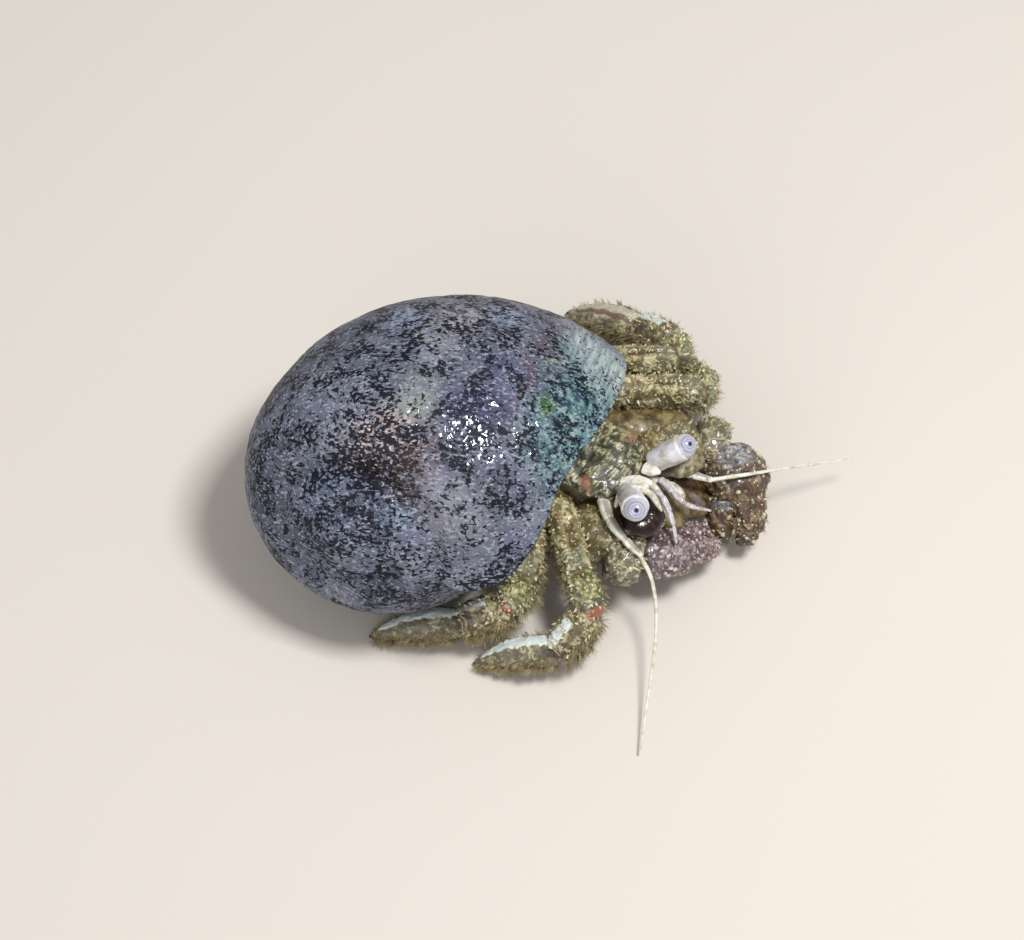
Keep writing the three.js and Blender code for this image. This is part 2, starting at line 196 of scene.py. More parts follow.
@dataclass
class Limb:
    """A length of limb or body: an oval outline carried along a smooth line.

    Around is 0 on the right of the line, 0.25 on top, 0.5 on its left and 0.75 below. Along is 0 at the near
    end and 1 at the far one.
    """

    path: Sequence[Place]
    wide: Sequence[float]
    high: Sequence[float]
    squareness: float = 2.3
    near_round: float = 0.8
    far_round: float = 0.8
    sculpt: Sculpt | None = None
    wrinkles: Sculpt | None = None  # the relief whose hollows get painted shade and tops painted highlight

    def __post_init__(self) -> None:
        """Prepares the middle line."""
        self.line = SmoothPath(self.path)

    def rounding(self, along: Points) -> Points:
        """Returns the share of its full size that the outline has near a rounded end.

        Args:
            along: Shares of the length.

        Returns:
            The shares, from 0 at an end to 1.
        """
        length = self.line.length
        near = np.clip(along * length / self.near_round, 0, 1)
        far = np.clip((1 - along) * length / self.far_round, 0, 1)
        return np.sqrt(np.clip(1 - (1 - near) ** 2, 0, 1)) * np.sqrt(np.clip(1 - (1 - far) ** 2, 0, 1))

    def smooth_place(self, around: Points, along: Points) -> Points:
        """Returns places on the plain oval form.

        Args:
            around: Shares of the way round.
            along: Shares of the length.

        Returns:
            The places, in the crab's own millimetres.
        """
        forward = self.line.heading(along)
        across = unit(np.cross(forward, np.array([0, 0, 1.0])))
        over = np.cross(across, forward)
        turn = around * 2 * np.pi
        cosine, sine = np.cos(turn), np.sin(turn)
        power = self.squareness
        bulge = (np.abs(cosine) ** power + np.abs(sine) ** power) ** (-1 / power)
        scale = (bulge * self.rounding(along))[:, None]
        sideways = across * (cosine * along_row(self.wide, along))[:, None]
        upwards = over * (sine * along_row(self.high, along))[:, None]
        return self.line.at(along) + (sideways + upwards) * scale

    def normal(self, around: Points, along: Points) -> Points:
        """Returns the outward direction of the plain oval form.

        Args:
            around: Shares of the way round.
            along: Shares of the length.

        Returns:
            Unit vectors.
        """
        small = 0.004
        inner = np.clip(along, 0.02, 0.98)
        right = self.smooth_place(around + small, inner) - self.smooth_place(around - small, inner)
        ahead = self.smooth_place(around, inner + small) - self.smooth_place(around, inner - small)
        return unit(np.cross(ahead, right))

    def place(self, around: Points, along: Points) -> Points:
        """Returns places on the finished surface.

        Args:
            around: Shares of the way round.
            along: Shares of the length.

        Returns:
            The places, in the crab's own millimetres.
        """
        plain = self.smooth_place(around, along)
        if self.sculpt is None:
            return plain
        lift = self.sculpt(around, along, plain) * self.rounding(along)
        return plain + self.normal(around, along) * lift[:, None]


# -------- meshes
def clear_selection() -> None:
    """Leaves nothing selected, because an operator acts on all that is."""
    bpy.ops.object.select_all(action="DESELECT")


def in_frame(points: Points) -> Points:
    """Returns the crab's own millimetres as metres in the frame, with nothing below the floor."""
    moved = (points + SHIFT) * MM
    return np.maximum(moved, (-np.inf, -np.inf, 0))


def wrapped(
    name: str,
    sides: int,
    rings: Points,
    place: Callable[[Points, Points], Points],
    turn: Callable[[Points], Points] = lambda share: share,
) -> Piece:
    """Wraps a grid round into a closed skin. Its map keeps around and along.

    Args:
        name: The piece's name.
        sides: Faces round it.
        rings: Where each ring lies along it, from 0 to 1.
        place: Gives the places for around and along, in the crab's own millimetres.
        turn: Spaces the sides round it.

    Returns:
        The new object.
    """
    clear_selection()
    bpy.ops.mesh.primitive_grid_add(
        x_subdivisions=sides, y_subdivisions=len(rings) - 1, size=1, calc_uvs=True
    )
    piece = bpy.context.object
    piece.name = piece.data.name = name
    mesh = piece.data
    flat = np.empty(len(mesh.vertices) * 3)
    mesh.vertices.foreach_get("co", flat)
    flat = flat.reshape(-1, 3) + 0.5
    around = turn(np.clip(flat[:, 0], 0, 1))
    along = np.interp(flat[:, 1], np.linspace(0, 1, len(rings)), rings)
    mesh.vertices.foreach_set("co", in_frame(place(around, along)).ravel())
    chart = mesh.uv_layers[0].data
    loops = np.empty(len(mesh.loops), int)
    mesh.loops.foreach_get("vertex_index", loops)
    chart.foreach_set("uv", np.stack([around[loops], along[loops]], axis=1).ravel())
    close_up()
    return piece


def close_up() -> None:
    """Welds the active mesh where it meets itself, and turns its faces outwards."""
    bpy.ops.object.mode_set(mode="EDIT")
    bpy.ops.mesh.select_all(action="SELECT")
    bpy.ops.mesh.remove_doubles(threshold=WELD)
    bpy.ops.mesh.normals_make_consistent(inside=False)
    bpy.ops.object.mode_set(mode="OBJECT")
    bpy.ops.object.shade_smooth()


def ring_spacing(count: int) -> Points:
    """Returns places from 0 to 1, closer together at both ends."""
    even = np.linspace(0, 1, count + 1)
    return 0.45 * even + 0.55 * (0.5 - 0.5 * np.cos(even * np.pi))


def limb_mesh(name: str, limb: Limb, cell: float = 0.16) -> Piece:
    """Makes a limb's skin with faces of about one size.

    Args:
        name: The piece's name.
        limb: Its shape.
        cell: The size of a face, in millimetres.

    Returns:
        The new object.
    """
    girth = math.pi * (max(limb.wide) + max(limb.high))
    sides = int(np.clip(girth / cell, 16, 110))
    count = int(np.clip(limb.line.length / cell, 12, 160))
    piece = wrapped(name, sides, ring_spacing(count), limb.place)
    if limb.wrinkles is not None:
        chart_relief(piece, limb)
    return piece


def chart_relief(piece: Piece, limb: Limb) -> None:
    """Keeps how far the wrinkles stand out on a second map, so that a finish can paint shade into their
    hollows and highlight onto their tops.

    Args:
        piece: The limb's mesh.
        limb: Its shape.
    """
    mesh = piece.data
    values = np.empty(len(mesh.loops) * 2)
    mesh.uv_layers[0].data.foreach_get("uv", values)
    around, along = values.reshape(-1, 2).T
    lift = limb.wrinkles(around, along, limb.smooth_place(around, along))
    shade = np.clip(lift / RELIEF_SPAN, 0, 1)
    mesh.uv_layers.new(name=RELIEF_MAP).data.foreach_set("uv", np.stack([shade, shade], axis=1).ravel())
    mesh.uv_layers.active_index = 0


@dataclass
class Seed:
    """A small shape, one unit tall on +Z, that is copied many times."""

    points: Points
    faces: Points

    @classmethod
    def taken_from(cls, piece: Piece) -> "Seed":
        """Takes the shape of an object as triangles and removes the object.

        Args:
            piece: The object.

        Returns:
            The seed.
        """
        mesh = piece.data
        mesh.calc_loop_triangles()
        points = np.array([vertex.co for vertex in mesh.vertices])
        faces = np.array([triangle.vertices for triangle in mesh.loop_triangles])
        bpy.data.objects.remove(piece)
        return cls(points, faces)


@dataclass
class Copies:
    """Many copies of one seed, gathered to be one mesh."""

    points: list[Points] = field(default_factory=list)
    faces: list[Points] = field(default_factory=list)
    roots: list[Points] = field(default_factory=list)
    count: int = 0

    def add(
        self,
        seed: Seed,
        places: Points,
        headings: Points,
        lengths: Points,
        widths: Points,
        spins: Points,
        roots: Points,
    ) -> None:
        """Adds a copy of the seed at each place.

        Args:
            seed: The shape.
            places: Where each one grows.
            headings: The way that each one's +Z points.
            lengths: Its height.
            widths: Its width.
            spins: Its turn about its own line, in radians.
            roots: Where each one's root lies on the skin's own map.
        """
        if not len(places):
            return
        ahead = unit(headings)
        helper = np.where(np.abs(ahead[:, 2:3]) < 0.9, np.array([[0, 0, 1.0]]), np.array([[1.0, 0, 0]]))
        first = unit(np.cross(helper, ahead))
        second = np.cross(ahead, first)
        cosine, sine = np.cos(spins)[:, None], np.sin(spins)[:, None]
        first, second = first * cosine + second * sine, second * cosine - first * sine
        shape = seed.points
        made = (
            places[:, None]
            + first[:, None] * (shape[None, :, 0:1] * widths[:, None, None])
            + second[:, None] * (shape[None, :, 1:2] * widths[:, None, None])
            + ahead[:, None] * (shape[None, :, 2:3] * lengths[:, None, None])
        )
        offsets = np.arange(len(places)) * len(shape) + self.count
        self.points.append(made.reshape(-1, 3))
        self.faces.append((seed.faces[None] + offsets[:, None, None]).reshape(-1, 3))
        patch = np.stack([shape[:, 0], shape[:, 2] * 2 - 1], axis=1) * PATCH_HALF
        patch = np.clip(patch, -PATCH_HALF, PATCH_HALF)
        self.roots.append((roots[:, None] + patch[None]).reshape(-1, 2))
        self.count += len(places) * len(shape)

    def joined(self, name: str, map_name: str) -> Piece:
        """Makes one mesh of all the copies.

        Args:
            name: The piece's name.
            map_name: The name of the map that holds the roots.

        Returns:
            The new object.
        """
        points, faces = in_frame(np.concatenate(self.points)), np.concatenate(self.faces)
        roots = np.concatenate(self.roots)
        mesh = bpy.data.meshes.new(name)
        mesh.vertices.add(len(points))
        mesh.vertices.foreach_set("co", points.ravel())
        mesh.loops.add(faces.size)
        mesh.loops.foreach_set("vertex_index", faces.ravel())
        mesh.polygons.add(len(faces))
        mesh.polygons.foreach_set("loop_start", np.arange(0, faces.size, 3))
        mesh.uv_layers.new(name=map_name).data.foreach_set("uv", roots[faces.ravel()].ravel())
        mesh.update(calc_edges=True)
        mesh.validate()
        mesh.shade_smooth()
        piece = bpy.data.objects.new(name, mesh)
        bpy.context.scene.collection.objects.link(piece)
        return piece


# -------- finishes
def to_linear(colour: str) -> tuple[float, float, float, float]:
    """Returns an sRGB hex colour as linear red, green, blue and alpha."""
    parts = [int(colour[i : i + 2], 16) / 255 for i in (1, 3, 5)]
    return (*[c / 12.92 if c <= 0.04045 else ((c + 0.055) / 1.055) ** 2.4 for c in parts], 1.0)


def per_mm(size: float) -> float:
    """Returns the pattern scale that repeats every so many millimetres of Object coordinates."""
    return 1 / (size * MM)


def add_node(
    tree: bpy.types.NodeTree,
    kind: str,
    inputs: dict | None = None,
    stops: Sequence[tuple[float, str]] = (),
    **settings: object,
) -> bpy.types.Node:
    """Adds a node with its settings and links.

    Args:
        tree: The material's node tree.
        kind: The node's type, without its leading ShaderNode.
        inputs: For each input, by name or number, a value or the output that feeds it.
        stops: The places and hex colours of a colour ramp.
        **settings: The node's own properties.

    Returns:
        The new node.
    """
    node = tree.nodes.new(f"ShaderNode{kind}")
    for name, value in settings.items():
        setattr(node, name, value)
    for name, value in (inputs or {}).items():
        if isinstance(value, Socket):
            tree.links.new(value, node.inputs[name])
        elif isinstance(value, str):
            node.inputs[name].default_value = to_linear(value)
        else:
            node.inputs[name].default_value = value
    for number, (place, colour) in enumerate(stops):
        points = node.color_ramp.elements
        stop = points[number] if number < 2 else points.new(place)
        stop.position = place
        stop.color = to_linear(colour)
    return node


class Paint:
    """A material being mixed: coats of colour are laid over each other where a mask lets them."""

    def __init__(self, name: str, colour: object = None) -> None:
        """Starts an empty material.

        Args:
            name: The material's name.
            colour: Its colour so far, a hex string or an output.
        """
        self.material = bpy.data.materials.new(name)
        self.material.use_nodes = True
        self.tree = self.material.node_tree
        self.tree.nodes.clear()
        self.place = self.node("TexCoord").outputs["Object"]
        self.chart = self.out("UVMap", uv_map="")
        self.colour = colour

    def node(self, kind: str, inputs: dict | None = None, **settings: object) -> bpy.types.Node:
        """Adds a node to this material."""
        return add_node(self.tree, kind, inputs, **settings)

    def out(self, kind: str, inputs: dict | None = None, **settings: object) -> Socket:
        """Adds a node to this material and returns its first output."""
        return self.node(kind, inputs, **settings).outputs[0]

    def both(self, first: object, second: object) -> Socket:
        """Returns one mask weakened by another, or by a number."""
        return self.out("Math", {0: first, 1: second}, operation="MULTIPLY", use_clamp=True)

    def either(self, first: object, second: object) -> Socket:
        """Returns two masks laid together, at most 1."""
        return self.out("Math", {0: first, 1: second}, operation="ADD", use_clamp=True)

    def without(self, first: object, second: object) -> Socket:
        """Returns the first mask where the second isn't, at least 0."""
        return self.out("Math", {0: first, 1: second}, operation="SUBTRACT", use_clamp=True)

    def step(self, value: object, low: float, high: float) -> Socket:
        """Returns a smooth step between two values, where low may be the greater.

        Args:
            value: The value that is read.
            low: Where the step is still 0.
            high: Where it has reached 1.

        Returns:
            The mask.
        """
        ends = {"From Min": min(low, high), "From Max": max(low, high)}
        ends |= {"To Min": float(low > high), "To Max": float(low < high)}
        return self.out("MapRange", {"Value": value, **ends}, interpolation_type="SMOOTHSTEP")

    def between(self, mask: object, low: float, high: float) -> Socket:
        """Returns low where the mask is 0 and high where it is 1."""
        return self.out("MapRange", {"Value": mask, "To Min": low, "To Max": high})

    def grain(
        self,
        size: float,
        detail: float = 3.0,
        shift: float = 0.0,
        rough: float = 0.6,
        where: object | None = None,
    ) -> Socket:
        """Returns soft noise.

        Args:
            size: The size of its lumps, in millimetres.
            detail: How many finer layers it has.
            shift: How far it is moved, in metres, so that two patterns differ.
            rough: The strength of the finer layers.
            where: The coordinates, unless they are Object ones.

        Returns:
            A value from 0 to 1, mostly near 0.5.
        """
        vector = self.place if where is None else where
        if shift:
            vector = self.out("Mapping", {"Vector": vector, "Location": (shift, shift, shift)})
        wanted = {"Vector": vector, "Scale": per_mm(size), "Detail": detail, "Roughness": rough}
        return self.out("TexNoise", wanted)

    def drawn_out(self, azimuth: float, times: float) -> Socket:
        """Returns Object coordinates in which a pattern comes out longer along one level direction."""
        turned = {"Vector": self.place, "Rotation": (0, 0, math.radians(azimuth)), "Scale": (times, 1, 1)}
        return self.out("Mapping", turned, vector_type="TEXTURE")

    def facing(self, around: object, line: float = 0.0) -> Socket:
        """Finds how nearly the skin faces the same way as one line of the limb.

        Args:
            around: The share of the way round.
            line: The line, as such a share.

        Returns:
            A cosine: 1 on the line and -1 on the far side.
        """
        turn = self.out("Math", {0: around, 1: line}, operation="SUBTRACT")
        turn = self.out("Math", {0: turn, 1: math.tau}, operation="MULTIPLY")
        return self.out("Math", {0: turn}, operation="COSINE")

    def stops(self, value: object, *stops: tuple[float, str]) -> Socket:
        """Returns a colour from a row of colours."""
        return self.out("ValToRGB", {0: value}, stops=stops)

    def over(self, ground: object, colour: object, mask: object) -> Socket:
        """Returns the ground with a coat of colour laid over it where the mask is 1."""
        return self.node("Mix", {0: mask, 6: ground, 7: colour}, data_type="RGBA").outputs[2]

    def lay(self, colour: object, mask: object, strength: float | None = None) -> None:
        """Lays a coat of colour over the colour so far, where the mask is 1."""
        mask = mask if strength is None else self.both(mask, strength)
        self.colour = self.over(self.colour, colour, mask)

    def away(self, centre: Place) -> Socket:
        """Measures the distance from a place.

        Args:
            centre: The place, in the crab's own millimetres.

        Returns:
            The distance, in metres.
        """
        spot = (np.array(centre) + SHIFT) * MM
        node = self.node("VectorMath", {0: self.place, 1: spot.tolist()}, operation="DISTANCE")
        return node.outputs["Value"]

    def near(self, centre: Place, reach: float, soft: float = 0.5) -> Socket:
        """Returns 1 round a place in the frame and 0 beyond its reach.

        Args:
            centre: The place, in the crab's own millimetres.
            reach: The distance at which the mask ends, in millimetres.
            soft: The share of the reach over which it fades.

        Returns:
            The mask.
        """
        return self.step(self.away(centre), reach * MM, reach * MM * (1 - soft))

    def finish(
        self,
        roughness: object,
        height: object | None = None,
        depth: float = 0.1,
        **sockets: object,
    ) -> bpy.types.Material:
        """Wires the surface and returns the material.

        Args:
            roughness: Its roughness, a value or an output.
            height: Its fine relief, from 0 to 1.
            depth: The depth of that relief, in millimetres.
            **sockets: More inputs of the surface, with spaces written as underscores.

        Returns:
            The material.
        """
        inputs = {"Base Color": self.colour, "Roughness": roughness}
        inputs |= {name.replace("_", " "): value for name, value in sockets.items()}
        if height is not None:
            inputs["Normal"] = self.out("Bump", {"Height": height, "Distance": depth * MM})
        self.node("OutputMaterial", {"Surface": self.out("BsdfPrincipled", inputs)})
        return self.material


@dataclass(frozen=True)
class Band:
    """A mark on a limb, between two places along it and round one line of it."""

    colour: str
    start: float
    end: float
    around: float = 0.25
    half: float = 0.5  # half its breadth, as a share of the girth: 0.5 goes all the way round
    soft: float = 0.04
    strength: float = 1.0
    clean: bool = False  # whether it is free of mottling

    def mask(self, paint: Paint, around: object, along: object) -> Socket:
        """Paints where the band is.

        Args:
            paint: The material being mixed.
            around: The share of the way round.
            along: The share of the length.

        Returns:
            The band's strength on it and 0 off it.
        """
        mask = paint.both(
            paint.step(along, self.start - self.soft, self.start + self.soft),
            paint.step(along, self.end + self.soft, self.end - self.soft),
        )
        if self.half < 0.5:
            outer = math.cos(math.tau * min(self.half + self.soft, 0.5))
            inner = math.cos(math.tau * max(self.half - self.soft, 0.0))
            mask = paint.both(mask, paint.step(paint.facing(around, self.around), outer, inner))
        return paint.both(mask, self.strength)


@dataclass(frozen=True)
class Cuticle:
    """Crab cuticle: horny, limy plate with the dull gloss of a fingernail.

    It is moulded by the animal itself, so its colour lies in cloudy patches with fine dark mottling over
    them, and a thin film of sea water gives it a soft shine. Painted shade darkens the hollows between its
    wrinkles and a painted highlight pales their tops.
    """

    name: str
    ground: tuple[str, str, str]
    mottle: str
    bands: tuple[Band, ...] = ()
    mottle_size: float = 0.55  # from one dark fleck to the next, in millimetres
    mottle_share: float = 0.5
    roughness: float = 0.38
    wander: float = 0.05  # how far the bands' edges stray
    relief_shading: float = 0.7  # painted shade in the hollows between its wrinkles, and painted highlight on their tops

    def material(self) -> bpy.types.Material:
        """Mixes the material.

        Returns:
            The material.
        """
        paint = Paint(self.name)
        cloud = paint.grain(2.2, 3)
        low, middle, high = self.ground
        paint.colour = paint.stops(cloud, (0.36, low), (0.5, middle), (0.62, high))
        stray = paint.node("TexNoise", {"Vector": paint.place, "Scale": per_mm(0.9), "Detail": 3.0})
        stray = stray.outputs["Color"]
        moved = paint.out("VectorMath", {0: stray, 1: (0.5, 0.5, 0.5)}, operation="SUBTRACT")
        moved = paint.out("VectorMath", {0: moved, "Scale": self.wander * 2}, operation="SCALE")
        spot = paint.out("VectorMath", {0: paint.chart, 1: moved}, operation="ADD")
        parts = paint.node("SeparateXYZ", {0: spot})
        marked = 1.0
        for band in self.bands:
            mask = band.mask(paint, parts.outputs[0], parts.outputs[1])
            paint.lay(band.colour, mask)
            if band.clean:
                marked = paint.without(marked, paint.both(mask, 0.95))
        flecks = paint.grain(self.mottle_size, 4, 0.01, 0.7)
        edge = 0.5 + 0.16 * (1 - 2 * self.mottle_share)
        dark = paint.both(paint.step(flecks, edge, edge + 0.08), marked)
        paint.lay(self.mottle, dark, 0.65)
        pale = paint.both(paint.step(paint.grain(0.4, 2, 0.02), 0.53, 0.63), marked)
        paint.lay(high, pale, 0.4)
        # painted shade in the hollows between the wrinkles and painted highlight on their tops, read from the
        # relief map
        relief = paint.out("SeparateXYZ", {0: paint.out("UVMap", uv_map=RELIEF_MAP)})
        shaded_gaps = paint.both(paint.step(relief, 0.3, 0.05), marked)
        paint.lay(self.mottle, shaded_gaps, self.relief_shading)
        lit_crests = paint.both(paint.step(relief, 0.45, 0.8), marked)
        paint.lay(high, lit_crests, self.relief_shading)
        shine = paint.between(cloud, self.roughness - 0.1, self.roughness + 0.15)
        height = paint.either(paint.both(flecks, 0.6), paint.both(paint.grain(0.16, 2), 0.4))
        return paint.finish(shine, height, 0.12, Coat_Weight=0.35, Coat_Roughness=0.12)


@dataclass(frozen=True)
class Patch:
    """A stain on the shell, round one place."""

    colour: str
    centre: Place
    reach: float
    strength: float = 0.8
    ragged: float = 0.5


@dataclass(frozen=True)
class OldShell:
    """Moon snail shell long out of its maker's care: glazed limy shell, worn, pitted and overgrown.

    Wear leaves a bruised slate violet with dark pits, a film of algae makes the newest part green and teal,
    and sea water stands on it, so that the pits' edges sparkle.
    """

    name: str = "worn_shell"
    ripple_depth: float = 0.45  # of the water's skin over the pits, in millimetres
    wettest: Place = (13.0, -8.0, 31.0)  # the middle of the part that the water lies on

    def material(self) -> bpy.types.Material:
        """Mixes the material.

        Returns:
            The material.
        """
        paint = Paint(self.name)
        chart = paint.node("SeparateXYZ", {0: paint.chart})
        around, back = chart.outputs[0], chart.outputs[1]
        cloud = paint.grain(6.0, 4)
        slate = ((0.34, "#3a3e49"), (0.47, "#4e5360"), (0.56, "#616573"), (0.68, "#777a86"))
        paint.colour = paint.stops(cloud, *slate)
        violet = paint.step(paint.grain(2.6, 3, 0.03), 0.54, 0.66)
        paint.lay("#626079", violet, 0.55)
        for stain in SHELL_STAINS:
            self.stained(paint, stain)
        oldest = paint.step(back, 1.0, 1.08)
        paint.lay("#4f596e", oldest, 0.4)
        paint.lay("#2a2122", self.suture(paint, around, oldest))
        self.newest(paint, around, back)
        for stain in ALGAE_STAINS:
            self.stained(paint, stain)
        flecks = paint.step(paint.grain(0.34, 3, 0.04, 0.6, self.worn_way(paint)), 0.53, 0.62)
        pink = paint.near((5.0, -17.3, 31.0), 5.5, 0.6)
        bright = paint.over("#a3a6b6", "#d8cac2", pink)
        paint.lay(bright, flecks, 0.62)
        pits = self.pits(paint)
        paint.lay("#080a18", pits, 0.95)
        inside = paint.step(paint.out("UVMap", uv_map=WALL_MAP), 0.4, 0.6)
        paint.lay(paint.stops(cloud, (0.4, "#b9ab98"), (0.6, "#d6cab8")), inside)
        rough = paint.between(paint.grain(2.5, 3, 0.07), 0.35, 0.7)
        height = paint.without(paint.both(paint.grain(0.5, 4), 0.6), paint.both(pits, 0.4))
        water = paint.grain(1.5, 1, 0.11, 0.5)
        ripples = paint.out("Bump", {"Height": water, "Distance": self.ripple_depth * MM})
        film = paint.between(paint.near(self.wettest, 13.0), 0.08, 0.6)
        return paint.finish(
            rough,
            height,
            0.25,
            Specular_IOR_Level=0.1,
            Coat_Weight=film,
            Coat_Roughness=0.04,
            Coat_Normal=ripples,
        )

    def worn_way(self, paint: Paint) -> Socket:
        """Returns coordinates in which flecks and pits come out longer the way that the shell is dragged."""
        return paint.drawn_out(35.0, 1.6)

    def stained(self, paint: Paint, stain: Patch) -> None:
        """Lays one ragged stain on the shell.

        Args:
            paint: The material being mixed.
            stain: The stain.
        """
        mask = paint.near(stain.centre, stain.reach, 0.8)
        low = 0.26 + 0.2 * stain.ragged
        broken = paint.step(paint.grain(1.3, 4, 0.05, 0.7), low, low + 0.14)
        mask = paint.both(paint.both(mask, broken), stain.strength)
        paint.lay(stain.colour, mask)

    def pits(self, paint: Paint) -> Socket:
        """Paints the small dark pits, which crowd together in some places and thin out in others.

        Args:
            paint: The material being mixed.

        Returns:
            1 in a pit and 0 beside it.
        """
        crowd = paint.step(paint.grain(3.2, 3, 0.06), 0.4, 0.6)
        for place, reach, soft, strength in PITTED_PARTS:
            crowd = paint.either(crowd, paint.both(paint.near(place, reach, soft), strength))
        for place, reach, soft, strength in SMOOTH_PARTS:
            crowd = paint.without(crowd, paint.both(paint.near(place, reach, soft), strength))
        wide = paint.between(crowd, 0.585, 0.47)
        small = paint.both(paint.grain(0.3, 2, 0.08, 0.5, self.worn_way(paint)), 0.6)
        large = paint.both(paint.grain(0.75, 2, 0.13, 0.5), 0.4)
        speck = paint.either(small, large)
        deep = paint.out("Math", {0: speck, 1: wide}, operation="SUBTRACT")
        return paint.step(deep, 0.0, 0.035)

    def suture(self, paint: Paint, around: object, oldest: object) -> Socket:
        """Paints a dark line where the newest turn meets the one before, broken in places.

        Args:
            paint: The material being mixed.
            around: The share of the way round the outline.
            oldest: 1 on the turns before the newest.

        Returns:
            1 in the line and 0 beside it.
        """
        newer = paint.both(paint.step(around, 0.238, 0.252), paint.step(oldest, 0.6, 0.4))
        older = paint.both(paint.step(around, 0.205, 0.185), oldest)
        broken = paint.step(paint.grain(1.2, 3, 0.17), 0.38, 0.5)
        clear = paint.between(paint.near((5.5, -20.3, 27.6), 8.0), 0.15, 0.9)
        return paint.both(paint.either(newer, older), paint.both(broken, clear))

    def newest(self, paint: Paint, around: object, back: object) -> None:
        """Lays the algae's greens over the newest growth, behind the lip.

        Args:
            paint: The material being mixed.
            around: The share of the way round the outline.
            back: Turns behind the lip.
        """
        stray = paint.out("Math", {0: paint.grain(2.5, 4, 0.09, 0.7), 1: 0.5}, operation="SUBTRACT")
        stray = paint.out("Math", {0: stray, 1: 0.06, 2: back}, operation="MULTIPLY_ADD")
        upper = paint.facing(around)
        zone = paint.both(paint.step(stray, 0.074, 0.04), paint.step(upper, 0.45, 0.85))
        streaks = paint.out("Mapping", {"Vector": paint.chart, "Scale": (26.0, 260.0, 1.0)})
        streaks = paint.out("TexNoise", {"Vector": streaks, "Scale": 1.0, "Detail": 3.0})
        cloud = paint.grain(1.1, 4, 0.1, 0.7)
        low = paint.stops(cloud, (0.36, "#1c3142"), (0.47, "#3a5865"), (0.56, "#60827f"), (0.66, "#98aea3"))
        high = paint.stops(streaks, (0.34, "#55636a"), (0.46, "#879697"), (0.58, "#a6b4b0"), (0.7, "#bfcac6"))
        film = paint.over(low, high, paint.near((15.8, 12.0, 22.5), 11.5, 0.55))
        paint.lay(film, zone, 0.9)
        line = paint.both(paint.step(stray, 0.062, 0.07), paint.step(stray, 0.08, 0.072))
        line = paint.both(line, paint.step(upper, 0.6, 0.9))
        paint.lay("#5a4b58", line, 0.6)


PITTED_PARTS = (  # middle, reach and softness of each part where pits crowd, and how much
    ((4.5, -17.0, 31.0), 8.0, 0.6, 0.7),
    ((5.0, -23.0, 27.5), 10.0, 0.5, 0.35),
)
SMOOTH_PARTS = (  # the same of each part where they thin out
    ((13.0, -18.0, 24.0), 9.0, 0.6, 0.5),
    ((15.5, 10.0, 24.0), 8.0, 0.4, 0.7),
    ((5.4, -12.0, 33.2), 3.0, 0.5, 0.7),
)
SHELL_STAINS = (
    Patch("#737b76", (4.9, -9.6, 33.2), 3.4, 0.8, 0.7),
    Patch("#7c847e", (5.4, -12.2, 33.2), 3.4, 0.95, 0.4),
    Patch("#7f7a76", (1.5, -2.0, 32.0), 5.0, 0.6, 0.8),
    Patch("#9c8784", (5.8, -17.3, 31.0), 7.0, 0.85, 0.75),
    Patch("#3d2429", (8.0, -17.2, 30.8), 4.8, 0.8, 0.75),
    Patch("#a59a9d", (3.2, -17.4, 31.0), 5.0, 0.85, 0.9),
    Patch("#26224a", (11.2, -8.5, 32.6), 5.6, 0.8, 0.3),
    Patch("#3b3d62", (10.9, -2.5, 31.6), 4.6, 0.6, 0.4),
    Patch("#8f9cb4", (-3.3, -2.2, 29.3), 4.6, 0.8, 0.7),
    Patch("#8f9cb4", (5.6, 5.0, 29.0), 3.6, 0.8, 0.7),
    Patch("#a5a1a6", (2.0, 1.5, 30.4), 4.6, 0.75, 0.8),
    Patch("#8ea4b8", (10.1, -21.8, 26.0), 3.0, 0.75, 0.7),
    Patch("#56657f", (0.5, -22.5, 26.0), 4.6, 0.5, 0.5),
    Patch("#8c8a84", (14.5, -10.0, 26.5), 4.0, 0.5, 0.6),
    Patch("#7d6a70", (11.9, 4.3, 29.5), 1.8, 0.6, 0.7),
    Patch("#8a8994", (13.5, -16.5, 25.0), 8.0, 0.7, 0.5),
)
ALGAE_STAINS = (
    Patch("#3a5a20", (16.2, -2.4, 30.0), 2.2, 0.9, 0.75),
    Patch("#1d3a1c", (12.0, 5.6, 28.2), 1.7, 1.0, 0.6),
    Patch("#8fa06a", (13.2, 3.0, 28.8), 1.4, 0.7, 0.6),
    Patch("#24523f", (19.8, -5.5, 25.5), 3.0, 0.7, 0.8),
)


@dataclass(frozen=True)
class EyeLens:
    """The clear, smooth skin over the eye, with the pale rings that show through it."""

    name: str = "ringed_lens"

    def material(self) -> bpy.types.Material:
        """Mixes the material.

        Returns:
            The material.
        """
        paint = Paint(self.name)
        outwards = paint.node("SeparateXYZ", {0: paint.chart}).outputs[1]
        cloud = paint.out("Math", {0: paint.grain(0.5, 3), 1: 0.06, 2: outwards}, operation="MULTIPLY_ADD")
        paint.colour = paint.stops(
            cloud,
            (0.0, "#8f8a86"),
            (0.55, "#c9c5b8"),
            (0.68, "#cdccd2"),
            (0.76, "#b2b2c0"),
            (0.8, "#8b8ca3"),
            (0.85, "#b9bac8"),
            (0.9, "#8e8fa6"),
            (0.945, "#babbcb"),
            (0.97, "#72738a"),
            (1.0, "#120f1a"),
        )
        return paint.finish(0.12, Coat_Weight=1.0, Coat_Roughness=0.02)


